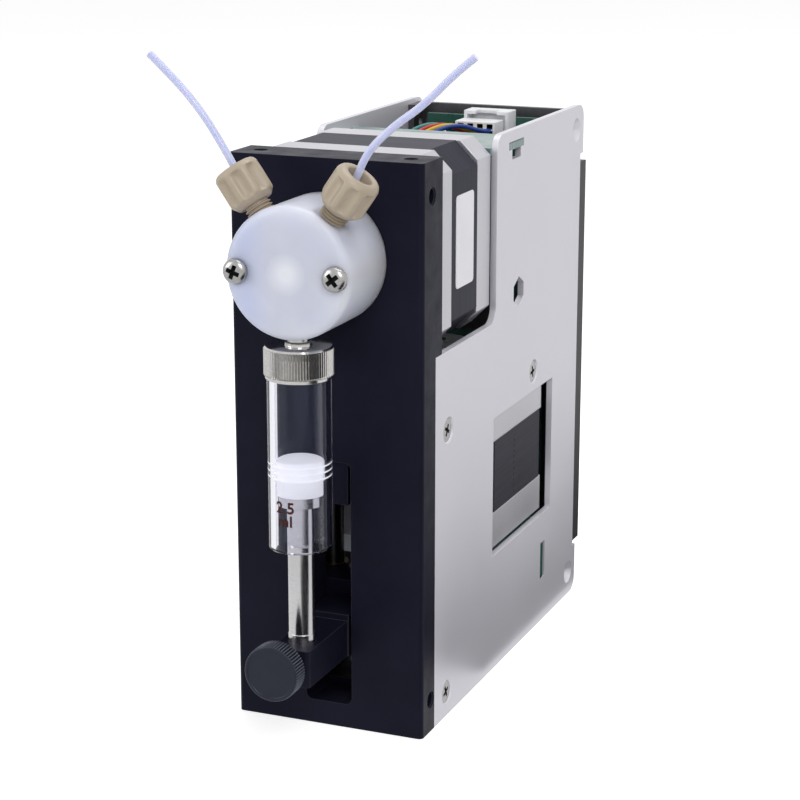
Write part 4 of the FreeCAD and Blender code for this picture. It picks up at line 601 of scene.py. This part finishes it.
nutSizes = {
    "sides": 96,
    "flutes": 8,
    "tilt": 35.0,
    "rings": [(2.36, 12.4), (2.36, 12.75), (2.92, 12.98), (2.92, 13.1), (2.36, 13.34), (2.36, 13.46),
              (2.92, 13.7), (2.92, 13.82), (2.36, 14.06), (2.36, 14.18), (2.92, 14.42), (2.92, 14.54),
              (2.36, 14.78), (2.36, 14.9), (2.92, 15.14), (2.92, 15.26), (2.5, 15.5), (2.5, 15.95),
              (3.5, 16.0), (3.8, 16.12), (4.78, 17.2), (4.94, 17.45), (5.02, 17.75), (5.05, 18.2),
              (5.05, 19.0), (5.05, 20.2),
              (5.05, 21.5), (5.05, 22.2), (5.04, 22.7), (5.0, 23.1), (4.93, 23.5), (4.75, 24.0),
              (4.5, 24.4), (4.15, 24.68), (3.75, 24.8), (3.2, 24.8), (2.9, 24.68), (2.74, 24.4),
              (2.66, 23.6), (2.2, 21.6), (1.4, 19.9), (0.86, 19.5), (0.86, 14.1)],
    "widest": 5.05,
    "fluteFloor": 4.4,
    "fluteRings": {17.2: 0.2, 17.45: 0.6, 17.75: 0.86, 18.2: 1.0, 19.0: 1.0, 20.2: 1.0, 21.5: 1.0,
                   22.2: 0.97, 22.7: 0.85, 23.1: 0.5},
    "fluteDepths": [0.92, 0.90, 0.80, 0.50, 0.10],
}


def fingerNut(name, side):
    piece = turnedPiece(name, nutSizes["rings"], nutSizes["sides"])
    stepAngle = 2 * math.pi / nutSizes["sides"]
    share = nutSizes["sides"] // nutSizes["flutes"]
    for height, part in nutSizes["fluteRings"].items():
        for offset, depth in enumerate(nutSizes["fluteDepths"]):
            def inFlute(vertex):
                count = round(math.atan2(vertex.co.y, vertex.co.x) / stepAngle) % share
                beside = min(count, share - count) == offset
                outside = math.hypot(vertex.co.x, vertex.co.y) > nutSizes["fluteFloor"] * mm
                return beside and outside and abs(vertex.co.z - height * mm) < 0.02 * mm
            selectParts(piece, "VERT", inFlute)
            shrink = (nutSizes["widest"] - depth * part) / nutSizes["widest"]
            bpy.ops.transform.resize(value=(shrink, shrink, 1), center_override=(0, 0, 0))
            leaveEdit()
    standPiece(piece, (0, 0, 0), (0, 0, 180 / nutSizes["flutes"]))
    standPiece(piece, (0, syringeBack, valveUp), (0, nutSizes["tilt"] * side, 0))
    return piece


for nutName, side in (("left_fitting", -1), ("right_fitting", 1)):
    dress(fingerNut(nutName + "Nut", side), "module", finishes["beige"], [nutName], 42)
print("finger nuts")


# milky valve body, with a shallow seat round each nut's neck

valveSizes = {
    "rings": [(11.7, -19.6), (12.35, -19.55), (12.95, -19.38), (13.4, -19.08), (13.75, -18.65),
              (13.95, -18.1), (14.0, -17.5), (14.0, 0.0)],
    "sides": 160,
    "seatUp": 13.5,
    "seatTop": 20.0,
    "seatRadius": 4.1,
    "holeRadius": 1.62,
    "holeEnds": (-21.0, 1.0),
}


def valveDisc():
    piece = standPiece(turnedPiece("valveDisc", valveSizes["rings"], valveSizes["sides"]),
                       (0, plateFront, valveUp), (-90, 0, 0))
    for side in (-1, 1):
        seat = turnedPiece("valveSeat", [(valveSizes["seatRadius"], valveSizes["seatUp"]),
                                         (valveSizes["seatRadius"], valveSizes["seatTop"])], 64)
        carve(piece, standPiece(seat, (0, syringeBack, valveUp), (0, nutSizes["tilt"] * side, 0)))
        way = turnedPiece("screwWay", [(valveSizes["holeRadius"], end) for end in valveSizes["holeEnds"]],
                          48)
        carve(piece, standPiece(way, (valveScrewSpread * side, plateFront, valveUp), (-90, 0, 0)))
    return softenEdges(piece, 0.12)


dress(valveDisc(), "module", finishes["milky"], ["valve_body"], 35)
print("valve body")


# knurled cap that screws the syringe to the valve

capSizes = {
    "sides": 144,
    "rings": [(6.86, 83.2), (7.0, 83.2), (7.06, 83.28), (7.06, 83.85), (7.35, 84.0), (7.35, 84.1),
              (7.35, 89.55), (7.3, 89.7), (6.95, 90.05), (6.8, 90.1), (2.95, 90.1), (2.9, 90.25),
              (2.9, 90.75), (2.3, 90.95), (2.3, 96.4)],
    "rimRadius": 7.35,
    "knurlLow": 84.05,
    "knurlHigh": 89.6,
    "knurlDepth": 0.55,
    "foot": 83.2,
    "barrelRoom": 4.85,
}


def syringeCap():
    piece = turnedPiece("syringeCap", capSizes["rings"], capSizes["sides"])
    ridgeRing(piece, capSizes)
    selectParts(piece, "FACE", lambda face: face.calc_center_median().z < (capSizes["foot"] + 0.01) * mm
                and face.normal.z < -0.9 and len(face.verts) > 8)
    inward = (0, 0, capSizes["barrelRoom"] * mm)
    bpy.ops.mesh.extrude_region_move(TRANSFORM_OT_translate={"value": inward})
    leaveEdit()
    faceOutward(piece)
    return standPiece(piece, (0, syringeBack, 0))


dress(syringeCap(), "module", finishes["nickel"], ["syringe_cap"], 20)
print("syringe cap")


# glass barrel, seal and rod of the syringe

barrelSizes = {
    "rings": [(5.45, 46.3), (6.45, 46.3), (6.68, 46.37), (6.78, 46.5), (6.8, 46.75), (6.8, 88.05)],
    "boreRings": [(5.15, 88.2), (5.15, 46.75), (5.2, 46.5), (5.5, 46.2)],
}
sealSizes = {
    "rings": [(4.72, 58.15), (4.78, 58.25), (4.78, 61.2), (4.98, 61.55), (5.11, 61.65), (5.11, 65.45),
              (5.0, 65.75), (4.6, 65.92), (3.0, 66.0), (1.2, 66.02)],
    "lips": (62.0, 63.35, 64.7),
    "lipHalf": 0.24,
}
rodSizes = {
    "rings": [(1.5, 19.3), (1.5, 24.3), (2.85, 24.3), (2.95, 24.4), (2.95, 26.9), (2.85, 27.0),
              (2.85, 55.7), (2.95, 55.8), (4.4, 55.8), (4.5, 55.9), (4.5, 58.1), (4.4, 58.2)],
}


def syringeBarrel():
    piece = turnedPiece("syringeGlass", barrelSizes["rings"], 128)
    bore = turnedPiece("syringeBore", barrelSizes["boreRings"], 128)
    carve(piece, bore)
    return standPiece(piece, (0, syringeBack, 0))


def plungerSeal():
    piece = turnedPiece("plungerSealBody", sealSizes["rings"])
    parts = [piece]
    for height in sealSizes["lips"]:
        half = sealSizes["lipHalf"]
        parts.append(turnedPiece("sealLip", [(4.9, height - half), (5.18, height - half * 0.7),
                                             (5.19, height), (5.18, height + half * 0.7),
                                             (4.9, height + half)], 96))
    joined = joinPieces("plungerSealBody", parts)
    return standPiece(joined, (0, syringeBack, 0))


dress(syringeBarrel(), "module", finishes["glass"], ["glass_barrel"], 30)
dress(plungerSeal(), "carriage", finishes["seal"], ["plunger_seal"], 40)
rod = standPiece(turnedPiece("plungerRodBar", rodSizes["rings"]), (0, syringeBack, 0))
dress(rod, "carriage", finishes["ground"], ["plunger_rod"], 25)
print("syringe")


# volume mark printed on the glass

markSizes = {"radius": 6.84, "turn": -3.5, "letter": 3.4, "weight": 0.085, "figureUp": 55.4,
             "unitUp": 52.5, "ink": 0.02}


def markLine(words, letter, up):
    clearAll()
    bpy.ops.object.text_add(location=(0, 0, 0))
    piece = bpy.context.object
    piece.data.body = words
    piece.data.size = letter * mm
    piece.data.align_x = "CENTER"
    piece.data.space_character = 1.05
    piece.data.offset = markSizes["weight"] * mm
    piece.data.extrude = markSizes["ink"] / 2 * mm
    bpy.ops.object.convert(target="MESH")
    piece = bpy.context.object
    bpy.ops.object.mode_set(mode="EDIT")
    bpy.ops.mesh.select_all(action="SELECT")
    bpy.ops.mesh.remove_doubles(threshold=0.0005 * mm)
    bpy.ops.mesh.subdivide(number_cuts=2)
    leaveEdit()
    for vertex in piece.data.vertices:
        angle = vertex.co.x / (markSizes["radius"] * mm) + math.radians(markSizes["turn"])
        reach = markSizes["radius"] * mm + vertex.co.z
        vertex.co = Vector((math.sin(angle) * reach, syringeBack * mm - math.cos(angle) * reach,
                            vertex.co.y + up * mm))
    return piece


mark = joinPieces("volumeMark", [markLine("2.5", markSizes["letter"], markSizes["figureUp"]),
                                 markLine("ml", markSizes["letter"], markSizes["unitUp"])])
dress(mark, "module", finishes["mark"])
mark.visible_glossy = False
mark.visible_transmission = False
print("volume mark")


# knurled thumbscrew in the arm's front

knobSizes = {
    "sides": 120,
    "rings": [(5.2, 0.12), (5.35, 0.0), (5.75, 0.0), (6.0, 0.12), (6.12, 0.3), (6.15, 0.4),
              (6.15, 3.9), (6.12, 4.0), (5.9, 4.2), (2.0, 4.2), (2.0, 9.2), (1.5, 9.2), (1.5, 12.5)],
    "rimRadius": 6.15,
    "knurlLow": 0.28,
    "knurlHigh": 4.05,
    "knurlDepth": 0.4,
    "faceInset": 0.4,
    "reach": 29.5,
}


def thumbScrew():
    piece = turnedPiece("lockKnobBody", knobSizes["rings"], knobSizes["sides"])
    ridgeRing(piece, knobSizes)
    selectParts(piece, "FACE", lambda face: len(face.verts) > 8 and face.calc_center_median().z < 1 * mm)
    bpy.ops.mesh.inset(thickness=knobSizes["faceInset"] * mm, depth=0)
    leaveEdit()
    faceOutward(piece)
    return standPiece(piece, (0, plateFront - knobSizes["reach"], knobUp), (-90, 0, 0))


dress(thumbScrew(), "knob", finishes["knob"], ["lock_knob"], 22)
print("lock knob")


# pan-head screws in the valve and countersunk screws in the panels

valveScrewSizes = {
    "rings": [(1.5, -25.5), (1.5, 0.0), (2.6, 0.0), (2.7, 0.1), (2.7, 0.65), (2.62, 0.95),
              (2.4, 1.3), (1.95, 1.62), (1.3, 1.82), (0.6, 1.88)],
    "front": -25.05,
    "cross": (3.7, 1.05, 1.7, 1.9),
    "recessTop": 1.52,
    "turns": (20, 52),
}
panelScrewSizes = {
    "rings": [(1.45, -5.8), (1.45, -1.5), (2.55, -0.45), (2.62, -0.38), (2.55, -0.32), (0.8, -0.26)],
    "places": ((15.0, 5.6), (15.0, 66.6), (71.7, 66.6)),
    "edge": 22.25,
    "cross": (3.4, 0.85, 1.4, -0.26),
    "recessTop": -0.45,
    "firstTurn": 25,
    "turnStep": 37,
}


def crossHead(name, screw, sides):
    # a turned screw with a cross cut in its head, whose walls take the second finish, a painted shade
    piece = turnedPiece(name, screw["rings"], sides)
    carve(piece, crossCutter(*screw["cross"]))
    piece.data.materials.clear()
    piece.data.materials.append(finishes["screw"])
    piece.data.materials.append(finishes["recess"])
    for face in piece.data.polygons:
        inDrive = math.hypot(face.center.x, face.center.y) < 1.9 * mm
        if inDrive and screw["recessTop"] - 3 < face.center.z / mm < screw["recessTop"]:
            face.material_index = 1
    return piece


def valveScrews():
    one = crossHead("valveScrew", valveScrewSizes, 64)
    pair = [one, copyPiece(one, "valveScrewTwin")]
    for piece, side, turn in zip(pair, (-1, 1), valveScrewSizes["turns"]):
        standPiece(piece, (valveScrewSpread * side, valveScrewSizes["front"], valveUp), (90, turn, 0))
    return joinPieces("valveScrewPair", pair)


def panelScrews():
    one = crossHead("panelScrew", panelScrewSizes, 48)
    parts = []
    for index, (back, up) in enumerate(panelScrewSizes["places"]):
        for side in (1, -1):
            twin = copyPiece(one, "panelScrewTwin")
            turn = panelScrewSizes["firstTurn"] + panelScrewSizes["turnStep"] * index
            standPiece(twin, (0, 0, 0), (0, 0, turn))
            standPiece(twin, (panelScrewSizes["edge"] * side, plateFront + back, up), (0, 90 * side, 0))
            parts.append(twin)
    bpy.data.objects.remove(one)
    return joinPieces("panelScrewSet", parts)


dress(valveScrews(), "module", None, ["valve_screws"], 30)
dress(panelScrews(), "module", None, ["panel_screws"], 30)
print("screws")


# soft tubes and the plunger motor's leads

cordSizes = {
    "tubeRadius": 0.8,
    "leadRadius": 0.55,
    "leftTube": [(-8.374, -19.15, 117.81), (-12.619, -19.15, 123.871), (-16.9, -19.2, 131.0),
                 (-21.6, -19.5, 137.9), (-27.2, -19.8, 143.9), (-32.6, -19.9, 148.6)],
    "rightTube": [(8.374, -19.15, 117.81), (12.619, -19.15, 123.871), (15.5, -19.1, 130.9),
                  (21.0, -18.8, 136.2), (27.6, -18.1, 140.9), (33.4, -17.2, 147.0),
                  (37.6, -16.5, 150.4)],
    "tubeLengths": {"left_tube": 39.4, "right_tube": 44.5},
    "leadStart": (-16.4, 37.45, 117.15),
    "leadPitch": 1.3,
    "leadEndsAcross": (-2.15, 0.35, 2.85, 5.35),
    "leadEnd": (81.75, 122.0),
    "leadLengths": (50.5, 51.1, 51.7, 52.3),
}


def cordPiece(name, route, radius, finish):
    line = bpy.data.curves.new(name, "CURVE")
    line.dimensions = "3D"
    line.bevel_depth = radius * mm
    line.bevel_resolution = 6
    line.resolution_u = 16
    line.use_fill_caps = True
    spline = line.splines.new("NURBS")
    spline.points.add(len(route) - 1)
    for point, (x, y, z) in zip(spline.points, route):
        point.co = (x * mm, y * mm, z * mm, 1)
    spline.order_u = 3
    spline.use_endpoint_u = True
    piece = bpy.data.objects.new(name, line)
    bpy.context.scene.collection.objects.link(piece)
    line.materials.append(finish)
    return piece


def motorLeadRoute(index):
    startX, startY, startZ = cordSizes["leadStart"]
    startX += cordSizes["leadPitch"] * index
    endX = cordSizes["leadEndsAcross"][index]
    endY, endZ = cordSizes["leadEnd"]
    across = endX - startX
    return [(startX, startY, startZ),
            (startX, startY + 7, startZ),
            (startX + 0.6, startY + 14.5, startZ - 1),
            (startX + 0.15 * across, startY + 22, startZ - 0.4),
            (startX + 0.4 * across, startY + 28.5, endZ + 0.6),
            (startX + 0.72 * across, startY + 34, endZ + 2.6),
            (endX, endY - 5.3, endZ),
            (endX, endY, endZ)]


for (tubeName, length), route in zip(cordSizes["tubeLengths"].items(), ("leftTube", "rightTube")):
    tube = cordPiece(tubeName + "Line", cordSizes[route], cordSizes["tubeRadius"], finishes["tube"])
    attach(tube, "module")
    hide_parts(tubeName)
for index, (colourName, length) in enumerate(zip(leadColours, cordSizes["leadLengths"])):
    route = motorLeadRoute(index)
    lead = cordPiece("motorLead" + str(index + 1), route, cordSizes["leadRadius"], finishes[colourName])
    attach(lead, "module")
    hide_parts("motor_leads")
print("tubes and leads")


# white header and plug on the main board

headerSizes = {"wall": 0.9, "wellDepth": 3.5, "slotInset": 3.0, "slotDrop": 1.5, "slotDepth": 2.4}
plugSizes = {"pitch": 2.5, "wayCount": 4, "firstWay": -2.15, "wayWide": 1.5, "wayTall": 1.2,
             "lowWay": -0.6, "lowWayDepth": 2.2, "highWayDrop": 1.1, "highWayDepth": 3.4}


def motorHeader():
    low, high = nodeBox("motor_header")
    piece = blockPiece("motorHeaderBody", low, high, 0.15)
    wall = headerSizes["wall"]
    carve(piece, blockPiece("headerWell", (low[0] + wall, low[1] - 1, low[2] + wall),
                            (high[0] - wall, low[1] + headerSizes["wellDepth"], high[2] - wall)))
    inset = headerSizes["slotInset"]
    carve(piece, blockPiece("headerSlot", (low[0] + inset, low[1] - 1, high[2] - headerSizes["slotDrop"]),
                            (high[0] - inset, low[1] + headerSizes["slotDepth"], high[2] + 1)))
    return softenEdges(piece, 0.12)


def motorPlug():
    low, high = nodeBox("motor_plug")
    piece = blockPiece("motorPlugBody", low, high, 0.12)
    wide = plugSizes["wayWide"] / 2
    tall = plugSizes["wayTall"] / 2
    rows = (((low[2] + high[2]) / 2 + plugSizes["lowWay"], plugSizes["lowWayDepth"]),
            (high[2] - plugSizes["highWayDrop"], plugSizes["highWayDepth"]))
    for way in range(plugSizes["wayCount"]):
        across = plugSizes["firstWay"] + plugSizes["pitch"] * way
        for middle, deep in rows:
            carve(piece, blockPiece("plugWay", (across - wide, low[1] - 1, middle - tall),
                                    (across + wide, low[1] + deep, middle + tall)))
    softenEdges(piece, 0.08)
    # the ways' walls take a painted shade
    piece.data.materials.append(finishes["nylon"])
    piece.data.materials.append(finishes["recess"])
    for face in piece.data.polygons:
        inside = [edgeLow + 0.2 < spot / mm < edgeHigh - 0.2
                  for spot, edgeLow, edgeHigh in zip(face.center, low, high)]
        face.material_index = 1 if all(inside) else 0
    return piece


dress(motorHeader(), "module", finishes["nylon"], ["motor_header"], 30)
dress(motorPlug(), "module", None, ["motor_plug"], 30)
print("header and plug")


# small spot welds down the plunger motor's sides

spotSizes = {"radius": 0.36, "proud": 0.05, "back": 61.5, "low": 39.4, "step": 1.42, "count": 10,
             "side": 21.15}


def weldSpots():
    parts = []
    one = turnedPiece("weldSpot", [(spotSizes["radius"], -0.3),
                                   (spotSizes["radius"], spotSizes["proud"] * 0.4),
                                   (spotSizes["radius"] * 0.6, spotSizes["proud"])], 12)
    for side in (1, -1):
        for index in range(spotSizes["count"]):
            twin = copyPiece(one, "weldSpotTwin")
            standPiece(twin, (spotSizes["side"] * side, plateFront + spotSizes["back"],
                              spotSizes["low"] + spotSizes["step"] * index), (0, 90 * side, 0))
            parts.append(twin)
    bpy.data.objects.remove(one)
    return joinPieces("weldSpotRows", parts)


dress(weldSpots(), "module", finishes["recess"])
print("weld spots")


# contacts in the rear connector

contactSizes = {"blockHalf": 3.2, "blockLow": 66.4, "blockHigh": 89.6, "back": 110.6, "front": 112.4,
                "pinRadius": 0.5, "pinEnd": 114.7, "pitch": 2.76, "row": 1.42, "middle": 78.0}


def connectorBlock():
    low = (-contactSizes["blockHalf"], plateFront + contactSizes["back"], contactSizes["blockLow"])
    high = (contactSizes["blockHalf"], plateFront + contactSizes["front"], contactSizes["blockHigh"])
    return blockPiece("connectorBlock", low, high, 0.3)


def connectorPins():
    tip = contactSizes["pinEnd"] - contactSizes["front"]
    radius = contactSizes["pinRadius"]
    one = turnedPiece("connectorPin", [(radius, -0.5), (radius, tip - 0.3), (radius * 0.4, tip)], 16)
    parts = []
    for side, count in ((-1, 8), (1, 7)):
        for index in range(count):
            twin = copyPiece(one, "connectorPinTwin")
            up = contactSizes["middle"] + contactSizes["pitch"] * (index - (count - 1) / 2)
            standPiece(twin, (contactSizes["row"] * side, plateFront + contactSizes["front"], up),
                       (-90, 0, 0))
            parts.append(twin)
    bpy.data.objects.remove(one)
    return joinPieces("connectorPinSet", parts)


dress(connectorBlock(), "module", finishes["chip"])
dress(connectorPins(), "module", finishes["gold"], (), 40)
print("connector contacts")


# floor, light and camera

studioSizes = {
    # metres, watts and degrees
    "floorHalf": 3.0,
    "floorDrop": 0.0001,
    "skyLevel": 0.42,
    "lamps": [("keyLamp", (0.55, -0.75, 0.75), (0.5, 0.5), 4.6),
              ("fillLamp", (-0.75, -0.55, 0.45), (0.5, 0.6), 2.4),
              ("topLamp", (0.1, 0.25, 1.0), (0.7, 0.7), 4.2)],
    "flagUp": 0.0006,
    "flags": [("rightCard", (0.09, -0.19), (0.55, -0.02)),
              ("nearCard", (0.032, -0.14), (0.089, -0.03)),
              ("sideCard", (0.024, 0.035), (0.072, 0.26))],
    "cameraPlace": (0.18706, -0.41745, 0.19484),
    "cameraTurn": (75.139, 0.0, 22.424),
    "lens": 98.27,
}


def studioFloor():
    clearAll()
    bpy.ops.mesh.primitive_plane_add(size=2 * studioSizes["floorHalf"],
                                     location=(0, 0, -studioSizes["floorDrop"]))
    floor = bpy.context.object
    floor.name = "studioFloor"
    bpy.ops.object.transform_apply(location=True, rotation=True, scale=True)
    finish = bpy.data.materials.new("palePaper")
    finish.use_nodes = True
    tree = finish.node_tree
    tree.nodes.remove(tree.nodes["Principled BSDF"])
    paper = addNode(finish, "ShaderNodeBsdfDiffuse",
                    Color=twoTone(finish, cloud(finish, 3, 2.0), (0.78, 0.78, 0.78), (0.80, 0.80, 0.80)))
    glow = addNode(finish, "ShaderNodeEmission", Color=(1, 1, 1, 1), Strength=0.62)
    both = tree.nodes.new("ShaderNodeAddShader")
    tree.links.new(paper.outputs[0], both.inputs[0])
    tree.links.new(glow.outputs[0], both.inputs[1])
    white = addNode(finish, "ShaderNodeEmission", Color=(1, 1, 1, 1), Strength=1.0)
    rays = tree.nodes.new("ShaderNodeLightPath")
    mirrored = calc(finish, "MAXIMUM", rays.outputs["Is Glossy Ray"], rays.outputs["Is Transmission Ray"])
    seen = tree.nodes.new("ShaderNodeMixShader")
    tree.links.new(rays.outputs["Is Camera Ray"], seen.inputs[0])
    tree.links.new(paper.outputs[0], seen.inputs[1])
    tree.links.new(both.outputs[0], seen.inputs[2])
    final = tree.nodes.new("ShaderNodeMixShader")
    tree.links.new(mirrored, final.inputs[0])
    tree.links.new(seen.outputs[0], final.inputs[1])
    tree.links.new(white.outputs[0], final.inputs[2])
    tree.links.new(final.outputs[0], tree.nodes["Material Output"].inputs["Surface"])
    floor.data.materials.append(finish)


def studioFlags():
    # black cards that only mirrored rays meet, which give metal and glass their dark side
    finish = bpy.data.materials.new("blackCard")
    finish.use_nodes = True
    shader = finish.node_tree.nodes["Principled BSDF"]
    shader.inputs["Specular IOR Level"].default_value = 0.0
    plug(finish, "Base Color", twoTone(finish, cloud(finish, 4, 2.0), (0.010, 0.010, 0.014),
                                       (0.016, 0.016, 0.021)))
    for name, low, high in studioSizes["flags"]:
        clearAll()
        middle = [(a + b) / 2 for a, b in zip(low, high)]
        bpy.ops.mesh.primitive_plane_add(size=1, location=(*middle, studioSizes["flagUp"]))
        card = bpy.context.object
        card.name = name
        card.scale = (high[0] - low[0], high[1] - low[1], 1)
        bpy.ops.object.transform_apply(location=True, rotation=True, scale=True)
        card.data.materials.append(finish)
        card.visible_camera = False
        card.visible_diffuse = False
        card.visible_shadow = False


def studioWorld():
    world = bpy.data.worlds.new("studioWorld")
    bpy.context.scene.world = world
    world.use_nodes = True
    tree = world.node_tree
    sky = tree.nodes["Background"]
    sky.inputs["Color"].default_value = (1, 1, 1, 1)
    sky.inputs["Strength"].default_value = studioSizes["skyLevel"]
    white = tree.nodes.new("ShaderNodeBackground")
    white.inputs["Color"].default_value = (1, 1, 1, 1)
    white.inputs["Strength"].default_value = 1.0
    rays = tree.nodes.new("ShaderNodeLightPath")
    first = tree.nodes.new("ShaderNodeMath")
    first.operation = "MAXIMUM"
    tree.links.new(rays.outputs["Is Camera Ray"], first.inputs[0])
    tree.links.new(rays.outputs["Is Glossy Ray"], first.inputs[1])
    second = tree.nodes.new("ShaderNodeMath")
    second.operation = "MAXIMUM"
    tree.links.new(first.outputs[0], second.inputs[0])
    tree.links.new(rays.outputs["Is Transmission Ray"], second.inputs[1])
    mix = tree.nodes.new("ShaderNodeMixShader")
    tree.links.new(second.outputs[0], mix.inputs[0])
    tree.links.new(sky.outputs[0], mix.inputs[1])
    tree.links.new(white.outputs[0], mix.inputs[2])
    tree.links.new(mix.outputs[0], tree.nodes["World Output"].inputs["Surface"])


def studioLamps():
    aim = Vector((0, 0.03, 0.065))
    for name, place, size, power in studioSizes["lamps"]:
        light = bpy.data.lights.new(name, "AREA")
        light.shape = "RECTANGLE"
        light.size = size[0]
        light.size_y = size[1]
        light.energy = power
        lamp = bpy.data.objects.new(name, light)
        lamp.location = place
        lamp.rotation_euler = (aim - Vector(place)).to_track_quat("-Z", "Y").to_euler()
        bpy.context.scene.collection.objects.link(lamp)


def studioCamera():
    lens = bpy.data.cameras.new("viewCamera")
    lens.lens = studioSizes["lens"]
    lens.sensor_width = 36.0
    lens.clip_start = 0.01
    lens.clip_end = 20.0
    camera = bpy.data.objects.new("viewCamera", lens)
    camera.location = studioSizes["cameraPlace"]
    camera.rotation_euler = [math.radians(angle) for angle in studioSizes["cameraTurn"]]
    bpy.context.scene.collection.objects.link(camera)
    bpy.context.scene.camera = camera


studioFloor()
studioFlags()
studioWorld()
studioLamps()
studioCamera()
bpy.context.scene.view_settings.view_transform = "Standard"
print("studio ready")
